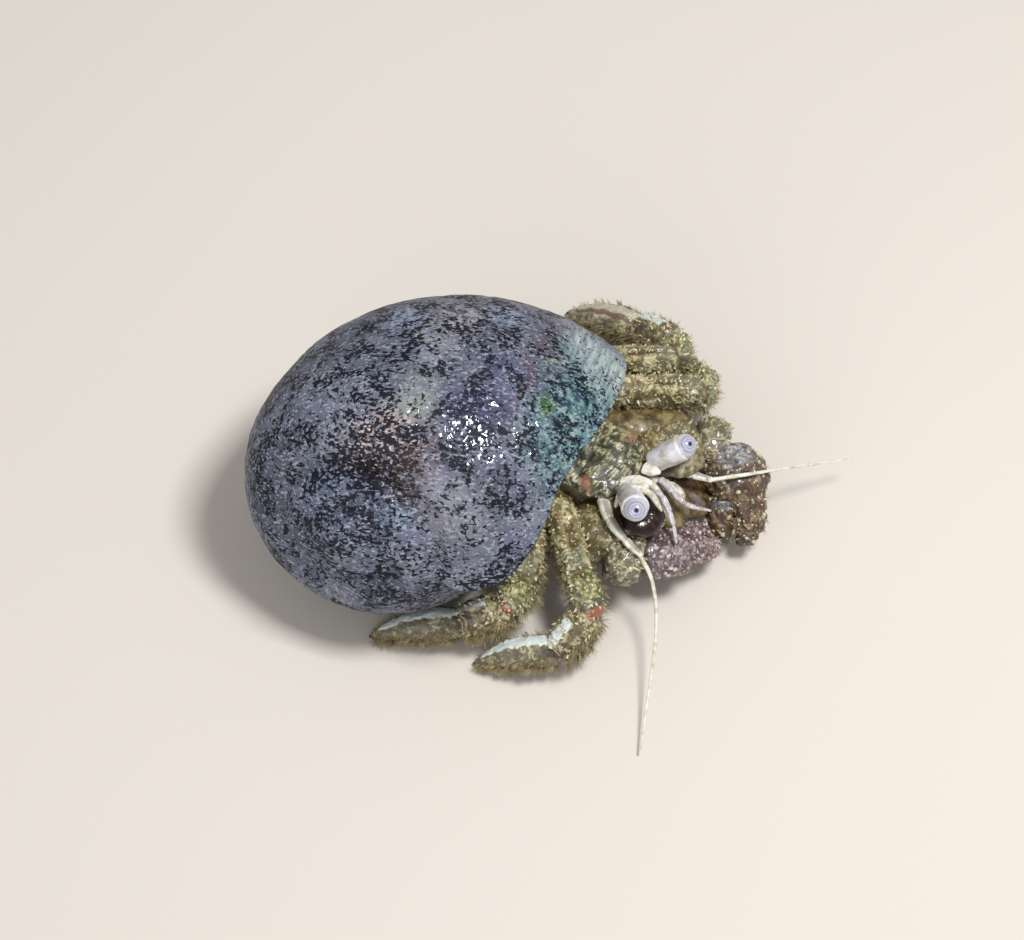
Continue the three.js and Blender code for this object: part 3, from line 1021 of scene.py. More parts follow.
@dataclass(frozen=True)
class Horn:
    """Thin horn of feelers, eyestalks, spines and bristles: even in colour, with faint clouds."""

    name: str
    pale: str
    dark: str
    size: float = 0.8
    roughness: float = 0.4
    coat: float = 0.3
    stripes: tuple[Band, ...] = ()

    def material(self) -> bpy.types.Material:
        """Mixes the material.

        Returns:
            The material.
        """
        paint = Paint(self.name)
        cloud = paint.grain(self.size, 3)
        paint.colour = paint.stops(cloud, (0.38, self.dark), (0.56, self.pale))
        parts = paint.node("SeparateXYZ", {0: paint.chart})
        for band in self.stripes:
            paint.lay(band.colour, band.mask(paint, parts.outputs[0], parts.outputs[1]))
        height = paint.grain(0.2, 2)
        return paint.finish(self.roughness, height, 0.03, Coat_Weight=self.coat, Coat_Roughness=0.1)


@dataclass(frozen=True)
class SoftSkin:
    """Soft, wet, leathery skin: olive and tan at the joints; glossy under the right eye, where painted shade
    makes it near black.
    """

    name: str = "soft_membrane"
    left_fold: Place = (28.2, 9.3, 12.8)
    shaded_fold_right: Place = (28.0, 0.1, 13.0)  # the middle of the fold round the right eye, painted near black as shade in its hollow
    # round the mouthparts the skin is brown, partly its own colour and partly painted shade of the gap
    # between the claws
    shaded_jaws: Place = (29.2, 8.9, 7.0)

    def material(self) -> bpy.types.Material:
        """Mixes the material.

        Returns:
            The material.
        """
        paint = Paint(self.name)
        olive = ((0.38, "#40351f"), (0.5, "#665735"), (0.62, "#8c7d57"))
        paint.colour = paint.stops(paint.grain(1.6, 4), *olive)
        pale = paint.step(paint.grain(0.4, 2, 0.02), 0.56, 0.68)
        paint.lay("#a5986f", pale, 0.4)
        tan = paint.stops(paint.grain(0.6, 3), (0.42, "#5a4f35"), (0.58, "#8a8164"))
        paint.lay(tan, paint.near(self.left_fold, 3.6, 0.4))
        # brown of the mouthparts, darkened partly as painted shade
        brown = paint.stops(paint.grain(0.8, 3), (0.4, "#2c2015"), (0.6, "#6a5034"))
        paint.lay(brown, paint.near(self.shaded_jaws, 3.8, 0.4))
        # painted shade: the hollow round the right eye goes near black, with a browner crescent at its edge
        away = paint.away(self.shaded_fold_right)
        inside = paint.step(away, 3.4 * MM, 3.1 * MM)
        streaks = ((0.42, "#100a09"), (0.54, "#271815"), (0.68, "#4d3327"))
        paint.lay(paint.stops(paint.grain(1.0, 3, 0.03), *streaks), inside)
        shade_crescent = paint.both(paint.step(away, 2.2 * MM, 3.0 * MM), inside)
        paint.lay("#4a3128", shade_crescent, 0.6)
        cream = paint.stops(paint.grain(0.7, 3, 0.06), (0.42, "#8f8868"), (0.56, "#d3cfb8"))
        paint.lay(cream, self.rim(paint, away))
        rough = paint.between(inside, 0.42, 0.12)
        return paint.finish(rough, paint.grain(0.35, 3), 0.04, Coat_Weight=0.15, Coat_Roughness=0.05)

    def rim(self, paint: Paint, away: object) -> Socket:
        """Paints the pale rim on the upper side of the fold whose near black is painted shade.

        Args:
            paint: The material being mixed.
            away: The distance from the fold's middle, in metres.

        Returns:
            The rim's strength on it and 0 off it.
        """
        ring = paint.both(paint.step(away, 2.9 * MM, 3.2 * MM), paint.step(away, 4.0 * MM, 3.7 * MM))
        level = paint.node("SeparateXYZ", {0: paint.place}).outputs[1]
        middle = float((self.shaded_fold_right[1] + SHIFT[1]) * MM)
        ring = paint.both(ring, paint.step(level, middle - 0.5 * MM, middle + 0.6 * MM))
        return paint.both(ring, 0.9)


@dataclass(frozen=True)
class PaintedFloor:
    """Matt white-grey board, sprayed, with no grain to see."""

    name: str = "studio_floor"

    def material(self) -> bpy.types.Material:
        """Returns the mixed material."""
        return Paint(self.name, "#cfc8bf").finish(0.9)


class Slot(Enum):
    """The record's names for the finishes."""

    SHELL = "snail_shell"
    CARAPACE = "carapace"
    LEG = "leg_cuticle"
    CLAW = "claw"
    CORNEA = "cornea"
    FEELER = "pale_feeler"
    SKIN = "soft_skin"


def settle(piece: Piece, finish: bpy.types.Material, slot: Slot, *nodes: str) -> Piece:
    """Dresses a finished piece, ties it to the frame and reports it.

    Args:
        piece: The piece.
        finish: Its material.
        slot: The record's name for its finish; not used.
        *nodes: The CAD nodes that it stands for.

    Returns:
        The same piece.
    """
    piece.data.materials.clear()
    piece.data.materials.append(finish)
    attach(piece, BODY)
    if nodes:
        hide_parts(*nodes)
    LOG.info("%s: %d faces", piece.name, len(piece.data.polygons))
    return piece


# -------- the shell
@dataclass
class MoonSnailShell:
    """A right-handed moon snail shell: one outline that turns about an axis and grows by the same factor.

    Lengths are in millimetres and angles in degrees. The outline's sizes are those at the lip.
    """

    apex: tuple[float, float, float] = (4.0, -27.0, 21.9)
    axis_azimuth: float = -87.0
    axis_rise: float = 26.3
    lip_angle: float = 184.3
    growth_per_turn: float = 1.92
    centre_out: float = 11.7
    centre_down: float = -22.5
    radius: float = 15.06
    taller: float = 0.2  # how far the outline departs from round, and the next two
    leaning: float = 0.036
    squarer: float = 0.025
    lip_lag: float = 55.0  # how far the lip stands back at its outer edge
    lip_hook: float = 36.0  # how far it comes forward again
    hook_at: float = 100.0
    hook_span: float = 60.0
    stretch: float = 1.15
    stretch_azimuth: float = 45.3
    stretch_rise: float = -14.0
    clear_of_axis: float = 0.3
    crusted: float = 0.85  # how nearly the grooves between the oldest whorls are filled
    turns: float = 5.0
    hollow_turns: float = 0.84  # how far back the inside is open
    lip_thickness: float = 0.7
    wall: float = 1.2
    lip_round: float = 0.0026  # turns
    sides: int = 140
    inner_rows: int = 56
    lip_rows: int = 7

    def __post_init__(self) -> None:
        """Prepares the axis, the growth rate and the rings."""
        self.axis = direction(self.axis_azimuth, self.axis_rise)
        self.side = unit(np.cross(self.axis, np.array([0, 0, 1.0])))
        self.over = np.cross(self.axis, self.side)
        self.drawn = direction(self.stretch_azimuth, self.stretch_rise)
        self.rate = math.log(self.growth_per_turn) / math.tau
        self.back_row, self.inset_row = self.rows()

    def place(self, around: Points, back: Points, inset: Points) -> Points:
        """Returns places on the whorl.

        Args:
            around: Share of the way round the outline, from its outermost point.
            back: Turns behind the lip.
            inset: Depth below the outer face, in millimetres.

        Returns:
            The places, in the crab's own millimetres.
        """
        turn = around * 2 * np.pi
        full = self.outline(turn)
        edge_out = self.centre_out + full * np.cos(turn)
        edge_down = self.centre_down + full * np.sin(turn)
        suture = 1 - 2 * np.arctan2(np.maximum(edge_out, 0.01), -edge_down) / np.pi
        off_hook = np.minimum(np.abs(np.degrees(turn) % 360 - self.hook_at) / self.hook_span, 1)
        hook = self.lip_hook * (1 + np.cos(np.pi * off_hook)) / 2
        grown = -back * 2 * np.pi - np.radians(self.lip_lag * (2 * suture - suture**2) - hook)
        scale = np.exp(self.rate * grown)
        radius = np.maximum(scale * full - inset, 0)
        out = np.maximum(scale * self.centre_out + radius * np.cos(turn), scale * self.clear_of_axis)
        down = scale * self.centre_down + radius * np.sin(turn)
        out, down = self.filled(out, down, scale, -grown / (2 * np.pi))
        return self.about_axis(out, down, math.radians(self.lip_angle) - grown)

    def outline(self, turn: Points) -> Points:
        """Returns how far the newest outline reaches from its own middle at each angle."""
        shape = 1 - self.taller * np.cos(2 * turn) - self.leaning * np.sin(2 * turn)
        return self.radius * (shape + self.squarer * np.cos(4 * turn))

    def about_axis(self, out: Points, down: Points, angle: Points) -> Points:
        """Returns places about the shell's axis.

        Args:
            out: Distances from the axis.
            down: Distances along it.
            angle: Angles about it, in radians.

        Returns:
            The places, in the crab's own millimetres.
        """
        offset = (
            self.side * (out * np.cos(angle))[:, None]
            + self.over * (out * np.sin(angle))[:, None]
            + self.axis * down[:, None]
        )
        offset += (self.stretch - 1) * (offset @ self.drawn)[:, None] * self.drawn
        return offset + np.array(self.apex)

    def filled(self, out: Points, down: Points, scale: Points, back: Points) -> tuple[Points, Points]:
        """Fills the grooves between the oldest whorls, which wear and crust have made one smooth dome.

        Args:
            out: Distances from the axis.
            down: Distances along it.
            scale: The whorl's growth at each point.
            back: Turns since that growth.

        Returns:
            The new distances from the axis and along it.
        """
        turn = np.linspace(0, 2 * np.pi, 721)
        full = self.outline(turn)
        rim_out, rim_down = self.centre_out + full * np.cos(turn), self.centre_down + full * np.sin(turn)
        rim = np.arctan2(rim_out, -rim_down)
        steepest = int(np.argmax(rim))
        crest = math.hypot(rim_out[steepest], rim_down[steepest])
        reach, slant = np.hypot(out, down), np.arctan2(out, -down)
        older = np.where(reach / scale < crest, smooth(1.0, 1.3, back), smooth(1.95, 2.2, back))
        below = rim[steepest] - slant
        share = older * self.crusted * (1 - smooth(0.25, 0.7, below)) * (below > 0)
        slant = slant + below * share
        return reach * np.sin(slant), -reach * np.cos(slant)

    def rows(self) -> tuple[Points, Points]:
        """Spaces the rings, from deep inside, round the lip, to the apex.

        Returns:
            Each ring's turns behind the lip, and its depth below the outer face.
        """
        inner = np.linspace(self.hollow_turns, self.lip_round, self.inner_rows)
        inner_wall = self.lip_thickness + (self.wall - self.lip_thickness) * smooth(0, 0.12, inner)
        bend = np.linspace(np.pi, 0, self.lip_rows + 2)[1:-1]
        lip = self.lip_round * (1 - np.sin(bend))
        lip_inset = self.lip_thickness * (1 - np.cos(bend)) / 2
        outer = np.concatenate(
            [
                np.linspace(self.lip_round, 0.6, 250),
                np.linspace(0.6, 1.3, 150)[1:],
                1.3 + (self.turns - 1.3) * np.linspace(0, 1, 170)[1:] ** 0.85,
            ]
        )
        back = np.concatenate([inner, lip, outer])
        inset = np.concatenate([inner_wall, lip_inset, np.zeros(len(outer))])
        return back, inset

    def relief(self, points: Points, back: Points, around: Points) -> Points:
        """Models the growth steps, dents and pits of the worn outer face.

        Args:
            points: Places on the plain face.
            back: Turns behind the lip.
            around: Shares of the way round the outline.

        Returns:
            The heights, in millimetres.
        """
        lines = Lumps.at(np.stack([around * 9, back * 170, np.zeros(len(back))], axis=1), 1.0)
        steps = Lumps.at(np.stack([around * 4, back * 46, np.full(len(back), 7.0)], axis=1), 1.0)
        dents = Lumps.at(points, 4.5)
        pits = smooth(0.25, 0.6, Lumps.at(points, 0.9))
        grain = Lumps.at(points, 0.45)
        return 0.04 * lines + 0.05 * steps + 0.1 * dents - 0.1 * pits + 0.03 * grain

    def spaced(self, share: Points) -> Points:
        """Returns places round the outline, closer together where the outside shows."""
        return share - 0.06 * np.sin(2 * np.pi * share) / np.pi

    def surface(self, around: Points, along: Points) -> Points:
        """Returns places on the finished skin, which is closed at its inner end and at the apex.

        Args:
            around: Shares of the way round the outline.
            along: Shares of the way from the inner end, round the lip, to the apex.

        Returns:
            The places, in the crab's own millimetres.
        """
        numbers = np.arange(len(self.back_row))
        row = along * numbers[-1]
        back = np.interp(row, numbers, self.back_row)
        inset = np.interp(row, numbers, self.inset_row)
        plain = self.place(around, back, inset)
        small = 0.002
        right = self.place(around + small, back, inset) - self.place(around - small, back, inset)
        ahead = self.place(around, back - small, inset) - self.place(around, back + small, inset)
        outward = unit(np.cross(ahead, right))
        deeper = self.place(around, back, inset + 0.5)
        outward *= np.sign(np.sum(outward * (plain - deeper), axis=1, keepdims=True))
        outer_from = self.inner_rows + self.lip_rows
        lift = self.relief(plain, back, around) * smooth(outer_from - 6, outer_from + 2, row)
        lift *= np.exp(-self.rate * 2 * np.pi * np.maximum(back - 0.8, 0))
        found = plain + outward * lift[:, None]
        found = np.where((row < 0.5)[:, None], self.middle(back), found)
        return np.where((row > numbers[-1] - 0.5)[:, None], np.array(self.apex), found)

    def build(self) -> Piece:
        """Winds the whole shell as one closed skin.

        Returns:
            The new object.
        """
        rings = np.linspace(0, 1, len(self.back_row))
        piece = wrapped("shell_whorls", self.sides, rings, self.surface, self.spaced)
        self.chart(piece)
        return piece

    def middle(self, back: Points) -> Points:
        """Finds the middle of the outline, where the inner end is closed.

        Args:
            back: Turns behind the lip.

        Returns:
            The places, in the crab's own millimetres.
        """
        scale = np.exp(-self.rate * back * 2 * np.pi)
        angle = math.radians(self.lip_angle) + back * 2 * np.pi
        return self.about_axis(scale * self.centre_out, scale * self.centre_down, angle)

    def chart(self, piece: Piece) -> None:
        """Turns the map's second value into turns behind the lip, and marks the inner wall on a second map.

        Args:
            piece: The shell's mesh.
        """
        mesh = piece.data
        first = mesh.uv_layers[0]
        values = np.empty(len(mesh.loops) * 2)
        first.data.foreach_get("uv", values)
        values = values.reshape(-1, 2)
        numbers = np.arange(len(self.back_row))
        row = values[:, 1] * numbers[-1]
        inside = 1 - smooth(self.inner_rows + 2, self.inner_rows + self.lip_rows - 2, row)
        values[:, 1] = np.interp(row, numbers, self.back_row)
        first.data.foreach_set("uv", values.ravel())
        wall = mesh.uv_layers.new(name=WALL_MAP)
        wall.data.foreach_set("uv", np.stack([inside, inside], axis=1).ravel())
        mesh.uv_layers.active_index = 0

    def dress(self) -> None:
        """Builds the shell, paints it and ties it to the frame."""
        settle(self.build(), OldShell().material(), Slot.SHELL, "shell")


# -------- relief of the crab's plates
def crest(turn: Points, around: float, half: float) -> Points:
    """Returns 1 on one line round a limb, falling away on both sides."""
    off = np.abs((turn - around + 0.5) % 1 - 0.5)
    return np.exp(-((off / half) ** 2))


def window(along: Points, start: float, end: float, soft: float) -> Points:
    """Returns 1 between two places along a limb and 0 beyond them."""
    return smooth(start, start + soft, along) * (1 - smooth(end - soft, end, along))


def keel(around: float, half: float, height: float, start: float = 0.05, end: float = 0.95) -> Sculpt:
    """Returns a ridge along a limb, on one line round it and as high as given, in millimetres."""
    return lambda turn, along, _: height * crest(turn, around, half) * window(along, start, end, 0.12)


def rugae(height: float, pitch: float, length: float, start: float = 0.0) -> Sculpt:
    """Returns short wavy wrinkles that run across a limb, steep on their far side like scales.

    Args:
        height: Their height in millimetres.
        pitch: Their spacing in millimetres.
        length: The limb's length in millimetres.
        start: Where they start along the limb.

    Returns:
        The relief.
    """

    def lift(_: Points, along: Points, points: Points) -> Points:
        """Returns the wrinkles' height at each place.

        Args:
            along: Shares of the length.
            points: Places on the plain form.

        Returns:
            The heights, in millimetres.
        """
        stray = Lumps.at(points, 1.1) * 1.5 + Lumps.at(points + 31, 0.45) * 0.6
        saw = (along * length / pitch + stray) % 1
        tooth = smooth(0, 0.7, saw) * (1 - smooth(0.78, 1.0, saw))
        present = 0.15 + 0.85 * smooth(-0.15, 0.25, Lumps.at(points + 57, 0.6))
        return height * tooth * present * smooth(start, start + 0.1, along)

    return lift


def uneven(height: float, size: float) -> Sculpt:
    """Returns soft lumps of one height and size, in millimetres."""
    return lambda _, __, points: height * Lumps.at(points + 13, size)


def notch(places: Sequence[float], depth: float, half: float) -> Sculpt:
    """Returns grooves round a limb, as between the joints of a feeler.

    Args:
        places: Where they lie along the limb.
        depth: Their depth in millimetres.
        half: Their half breadth, as a share of the length.

    Returns:
        The relief.
    """

    def groove(along: Points, place: float) -> Points:
        """Returns one groove's height at each place."""
        return -depth * np.exp(-(((along - place) / half) ** 2))

    return lambda _, along, __: sum((groove(along, place) for place in places), np.zeros(len(along)))


def rings_of(count: int, depth: float) -> Sculpt:
    """Returns evenly spaced shallow grooves, as on a feeler's whip."""
    return lambda _, along, __: -depth * (0.5 + 0.5 * np.cos(along * count * 2 * np.pi)) ** 3


def teeth(around: float, half: float, count: int, height: float, start: float, end: float) -> Sculpt:
    """Returns a row of blunt teeth on the gripping edge of a finger.

    Args:
        around: The line that it follows.
        half: Its half breadth, as a share of the girth.
        count: How many teeth.
        height: Their height in millimetres.
        start: Where the row starts along the finger.
        end: Where it ends.

    Returns:
        The relief.
    """

    def lift(turn: Points, along: Points, _: Points) -> Points:
        """Returns the height at each place."""
        wave = np.abs(np.sin((along - start) / (end - start) * count * np.pi))
        return height * wave * crest(turn, around, half) * window(along, start, end, 0.04)

    return lift


def together(*parts: Sculpt) -> Sculpt:
    """Returns the sum of several reliefs."""
    return lambda turn, along, points: sum(part(turn, along, points) for part in parts)


# -------- small things that grow on the plates
def spine_seed() -> Seed:
    """Models one spine: a cone whose blunt tip leans forward a little.

    Returns:
        The spine.
    """
    clear_selection()
    bpy.ops.mesh.primitive_cone_add(vertices=7, radius1=0.5, radius2=0.12, depth=1, location=(0, 0, 0.5))
    bpy.ops.object.transform_apply(location=True, rotation=False, scale=False)
    piece = bpy.context.object
    bpy.ops.object.mode_set(mode="EDIT")
    bpy.ops.mesh.select_all(action="SELECT")
    bpy.ops.mesh.bevel(offset=0.06, segments=1)
    bpy.ops.object.mode_set(mode="OBJECT")
    for vertex in piece.data.vertices:
        vertex.co.x += 0.3 * max(vertex.co.z, 0) ** 2
    return Seed.taken_from(piece)


def grain_seed(number: int) -> Seed:
    """Models one grain: a low, uneven dome.

    Args:
        number: Picks the grain's own lumps.

    Returns:
        The grain.
    """
    clear_selection()
    bpy.ops.mesh.primitive_ico_sphere_add(subdivisions=2, radius=0.5, location=(0, 0, 0))
    piece = bpy.context.object
    points = np.array([vertex.co for vertex in piece.data.vertices])
    points *= 1 + 0.28 * Lumps.at(points + number * 5.0, 0.45)[:, None]
    points *= (1.0, 0.72, 0.75)
    points[:, 2] += 0.1
    piece.data.vertices.foreach_set("co", points.ravel())
    return Seed.taken_from(piece)


def tuft_seed(hairs: int, splay: float, bend: float, thin: float, number: int) -> Seed:
    """Models one tuft of bristles that spread from a shared root.

    Args:
        hairs: How many bristles.
        splay: How far their tips spread, as a share of their length.
        bend: How far each one curves over.
        thin: A bristle's half width at its root, for a tuft one unit wide.
        number: Picks the tuft's own random spread.

    Returns:
        The tuft.
    """
    rng = np.random.default_rng(number)
    levels = np.array([0.0, 0.4, 0.75])
    points, faces = [], []
    for _ in range(hairs):
        turn, lean = rng.random() * math.tau, splay * rng.random() ** 0.5
        tall = 0.7 + 0.3 * rng.random()
        way = np.array([math.cos(turn), math.sin(turn)]) * lean
        first = len(points)
        for level in [*levels, 1.0]:
            spot = way * (level + bend * level**2)
            half = thin * (1 - 0.75 * level)
            if level == 1.0:
                points.append([spot[0], spot[1], tall])
                continue
            for angle in (0.0, math.tau / 3, 2 * math.tau / 3):
                side = spot + half * np.array([math.cos(angle), math.sin(angle)])
                points.append([*side, tall * level])
        for level in range(len(levels) - 1):
            for corner in range(3):
                a, b = first + level * 3 + corner, first + level * 3 + (corner + 1) % 3
                faces += [[a, b, b + 3], [a, b + 3, a + 3]]
        top = first + len(levels) * 3
        for corner in range(3):
            faces.append([top - 3 + corner, top - 3 + (corner + 1) % 3, top])
        faces.append([first + 2, first + 1, first])
    return Seed(np.array(points), np.array(faces))


@dataclass(frozen=True)
class Row:
    """A row of spines along one line of a limb."""

    around: float
    start: float
    end: float
    count: int
    length: float
    width: float
    lean: float = 0.6  # how far they lie forward
    stray: float = 0.012


@dataclass(frozen=True)
class Field:
    """A field of grains or bristles on a limb."""

    around: tuple[float, float]
    along: tuple[float, float]
    count: int
    length: tuple[float, float]
    width: float = 1.0  # as a share of the length
    lean: float = 0.8


ALL_ROUND = (0.0, 1.0)


class Growth:
    """All the spines, grains and bristles of the crab, gathered so that each kind becomes a few meshes."""

    CELLS = 8  # limbs to a side of the coat's map
    SPINE_DEPTH = 0.12  # how deep a root sits in the skin, in millimetres
    GRAIN_DEPTH = 0.05
    BRISTLE_DEPTH = 0.06

    def __init__(self) -> None:
        """Models the seeds."""
        self.rng = np.random.default_rng(5)
        self.spine = spine_seed()
        self.grains = [grain_seed(number) for number in range(4)]
        self.tufts = [tuft_seed(5, 0.35, 0.5, 0.035, number) for number in range(4)]
        self.kinds: dict[str, Copies] = {}
        self.limbs = 0

    def gathered(self, kind: str) -> Copies:
        """Returns the copies of one kind."""
        return self.kinds.setdefault(kind, Copies())

    def next_cell(self) -> Points:
        """Takes the next limb's own square on the coat's map.

        Returns:
            The square's corner.
        """
        cell = np.array([self.limbs % self.CELLS, self.limbs // self.CELLS]) / self.CELLS
        self.limbs += 1
        return cell

    def root(self, cell: Points, around: Points, along: Points) -> Points:
        """Returns places on the coat's map."""
        share = np.stack([around % 1, np.clip(along, 0, 1)], axis=1)
        return cell + (0.04 + 0.92 * share) / self.CELLS

    def plant(self, kind: str, seeds: Sequence[Seed], pick: Points, *rows: Points) -> None:
        """Adds a copy at each place, of the seed picked for it.

        Args:
            kind: The kind that the copies are gathered with.
            seeds: The shapes to pick from.
            pick: The number of each place's seed.
            *rows: The places, headings, lengths, widths, spins and roots, as Copies.add takes them.
        """
        for number, seed in enumerate(seeds):
            self.gathered(kind).add(seed, *(row[pick == number] for row in rows))

    def plant_row(self, limb: Limb, row: Row, kind: str) -> None:
        """Grows a row of spines.

        Args:
            limb: The limb.
            row: Where and how they stand.
            kind: The kind that they are gathered with.
        """
        along = np.linspace(row.start, row.end, row.count)
        along = along + self.rng.normal(0, 0.25 * (row.end - row.start) / row.count, row.count)
        around = row.around + self.rng.normal(0, row.stray, row.count)
        outward = limb.normal(around, along)
        size = self.rng.uniform(0.75, 1.2, row.count)
        self.gathered(kind).add(
            self.spine,
            limb.place(around, along) - outward * self.SPINE_DEPTH,
            outward + limb.line.heading(along) * row.lean,
            row.length * size,
            row.width * size,
            self.rng.uniform(0, math.tau, row.count),
            np.stack([around % 1, along], axis=1),
        )

    def sow(self, area: Field) -> tuple[Points, Points]:
        """Scatters places over a limb, about evenly spread.

        Args:
            area: The part of the limb to cover.

        Returns:
            The shares round it, and those along it.
        """
        across = max(int(round(math.sqrt(area.count * 0.6))), 1)
        down = max(area.count // across, 1)
        first, second = np.meshgrid(np.arange(across), np.arange(down))
        first = (first.ravel() + self.rng.random(first.size)) / across
        second = (second.ravel() + self.rng.random(second.size)) / down
        around = area.around[0] + first * (area.around[1] - area.around[0])
        return around, area.along[0] + second * (area.along[1] - area.along[0])

    def plant_grains(self, limb: Limb, area: Field, kind: str) -> None:
        """Grows a field of round grains.

        Args:
            limb: The limb.
            area: Where and how they stand.
            kind: The kind that they are gathered with.
        """
        around, along = self.sow(area)
        outward = limb.normal(around, along)
        size = self.rng.uniform(*area.length, len(along))
        heights = size * self.rng.uniform(0.7, 1.1, len(along))
        spins = self.rng.uniform(0, math.tau, len(along))
        pick = self.rng.integers(0, len(self.grains), len(along))
        places = limb.place(around, along) - outward * self.GRAIN_DEPTH
        ahead = outward + limb.line.heading(along) * 0.2
        roots = np.stack([around % 1, along], axis=1)
        self.plant(kind, self.grains, pick, places, ahead, heights, size * area.width, spins, roots)

    def plant_bristles(self, limb: Limb, area: Field, kind: str, cell: Points) -> None:
        """Grows a field of bristle tufts that lean towards the limb's tip.

        Args:
            limb: The limb.
            area: Where and how they stand.
            kind: The kind that they are gathered with.
            cell: The limb's own square on the coat's map.
        """
        around, along = self.sow(area)
        outward = limb.normal(around, along)
        ahead = limb.line.heading(along)
        stray = self.rng.normal(0, 0.22, (len(along), 3))
        way = outward + ahead * area.lean * self.rng.uniform(0.6, 1.4, len(along))[:, None] + stray
        length = self.rng.uniform(*area.length, len(along))
        pick = self.rng.integers(0, len(self.tufts), len(along))
        places = limb.place(around, along) - outward * self.BRISTLE_DEPTH
        spins = self.rng.uniform(0, math.tau, len(along))
        roots = self.root(cell, around, along)
        self.plant(kind, self.tufts, pick, places, way, length, length * area.width, spins, roots)


# -------- the crab's looks
LEG_GROUND = ("#665d3c", "#857b53", "#b5ac88")
LEG_MOTTLE = "#3d3420"
PALE_TEAL = "#dbe5e2"
RED_PATCH = "#9a5038"
MAROON = "#4c232a"
GREY_GREEN = "#8d9980"
LEG_TIP = Band("#2b1d14", 0.93, 1.2, 0.25, 0.5, 0.02, 0.95)
CLAW_TIP = Band("#2a1c1c", 0.92, 1.2, 0.25, 0.5, 0.02, 0.9)

MERUS_LOOK = Cuticle(
    "leg_merus",
    ("#766b44", "#978c61", "#cbc3a0"),
    LEG_MOTTLE,
    (
        Band("#d3c48c", 0.25, 0.95, 0.27, 0.13, 0.03, 0.6),
        Band("#4a350c", 0.5, 1.1, 0.27, 0.065, 0.03, 0.95, True),
        Band("#5d4a20", 0.2, 0.85, 0.62, 0.06, 0.03, 0.5),
        Band(GREY_GREEN, 0.8, 1.0, 0.25, 0.5, 0.05, 0.4),
    ),
)
CARPUS_LOOK = Cuticle(
    "leg_carpus",
    ("#6a6c50", "#858a6e", "#b3b496"),
    "#37331f",
    (
        Band("#9a9443", 0.05, 0.6, 0.27, 0.12, 0.06, 0.75),
        Band("#4a350c", -0.1, 0.22, 0.27, 0.05, 0.03, 0.9, True),
        Band(RED_PATCH, 0.8, 1.05, 0.26, 0.12, 0.03, 0.95, True),
    ),
)
PROPODUS_LOOK = Cuticle(
    "leg_propodus",
    LEG_GROUND,
    LEG_MOTTLE,
    (
        Band(RED_PATCH, -0.05, 0.1, 0.28, 0.1, 0.03, 0.95, True),
        Band(MAROON, 0.65, 1.1, 0.35, 0.05, 0.02, 0.8),
        Band(PALE_TEAL, 0.35, 1.1, 0.2, 0.055, 0.012, 0.92, True),
    ),
    mottle_share=0.62,
)
DACTYL_LOOK = Cuticle(
    "leg_dactyl",
    ("#6f6847", "#8f8763", "#b4ad8b"),
    LEG_MOTTLE,
    (
        Band(MAROON, -0.2, 0.18, 0.35, 0.05, 0.02, 0.8),
        Band("#a9a787", 0.3, 0.9, 0.4, 0.08, 0.04, 0.5),
        Band(PALE_TEAL, -0.2, 0.86, 0.2, 0.075, 0.012, 0.95, True),
        LEG_TIP,
    ),
    mottle_share=0.62,
)
STRIPED_DACTYL_LOOK = Cuticle(
    "leg_dactyl_striped",
    ("#8f8760", "#aaa27c", "#c9c3a3"),
    LEG_MOTTLE,
    (
        Band("#cac4ae", -0.2, 0.9, 0.22, 0.12, 0.03, 0.7, True),
        Band("#5f3a34", -0.2, 0.8, 0.3, 0.03, 0.012, 0.85),
        Band("#5f3a34", -0.2, 0.8, 0.12, 0.03, 0.012, 0.85),
        LEG_TIP,
    ),
    mottle_share=0.35,
)
ARM_LOOK = Cuticle(
    "claw_arm",
    ("#6b6142", "#857b58", "#aca481"),
    "#463b22",
    (Band("#7f6828", 0.1, 0.6, 0.3, 0.14, 0.06, 0.5),),
    mottle_share=0.3,
)
WRIST_LOOK = Cuticle(
    "claw_wrist",
    ("#6d6c58", "#878572", "#b3b09c"),
    "#453f30",
    (Band("#8f7f4e", 0.0, 0.5, 0.25, 0.2, 0.06, 0.5),),
    mottle_share=0.4,
)
RIGHT_CLAW_LOOK = Cuticle(
    "claw_plum",
    ("#5b4a4b", "#776567", "#a8979a"),
    "#382a2d",
    (CLAW_TIP,),
    mottle_share=0.5,
)
LEFT_CLAW_LOOK = Cuticle(
    "claw_rust",
    ("#4b3a2e", "#6d5944", "#988770"),
    "#2b1f18",
    (
        Band("#57322c", 0.3, 0.5, 0.3, 0.14, 0.05, 0.7),
        Band("#b4bac4", 0.05, 0.3, 0.28, 0.1, 0.04, 0.75),
        Band("#7a5530", 0.45, 0.8, 0.2, 0.16, 0.06, 0.6),
        CLAW_TIP,
    ),
    mottle_share=0.6,
)
SHIELD_LOOK = Cuticle(
    "shield_plate",
    ("#5c5c40", "#82825f", "#cbc7aa"),
    "#1b180f",
    (
        Band("#a05e4b", 0.4, 0.56, 0.07, 0.035, 0.03, 0.85, True),
        Band("#a05e4b", 0.46, 0.66, 0.42, 0.045, 0.03, 0.85, True),
        Band("#b7b079", 0.2, 0.6, 0.4, 0.06, 0.05, 0.6),
        Band("#d3cfb0", 0.93, 1.2, 0.25, 0.5, 0.02, 0.6),
    ),
    mottle_size=0.6,
    wander=0.1,
    relief_shading=0.85,
)
FEELER_LOOK = Horn("feeler_horn", "#e3e1d8", "#b5ae96", 0.9, 0.3, 0.6)
PEDUNCLE_STRIPE = Band("#8b8578", 0.08, 0.94, 0.27, 0.07, 0.03, 0.8)
PEDUNCLE_LOOK = Horn("peduncle_horn", "#e3e1d8", "#bab49f", 0.9, 0.3, 0.6, (PEDUNCLE_STRIPE,))
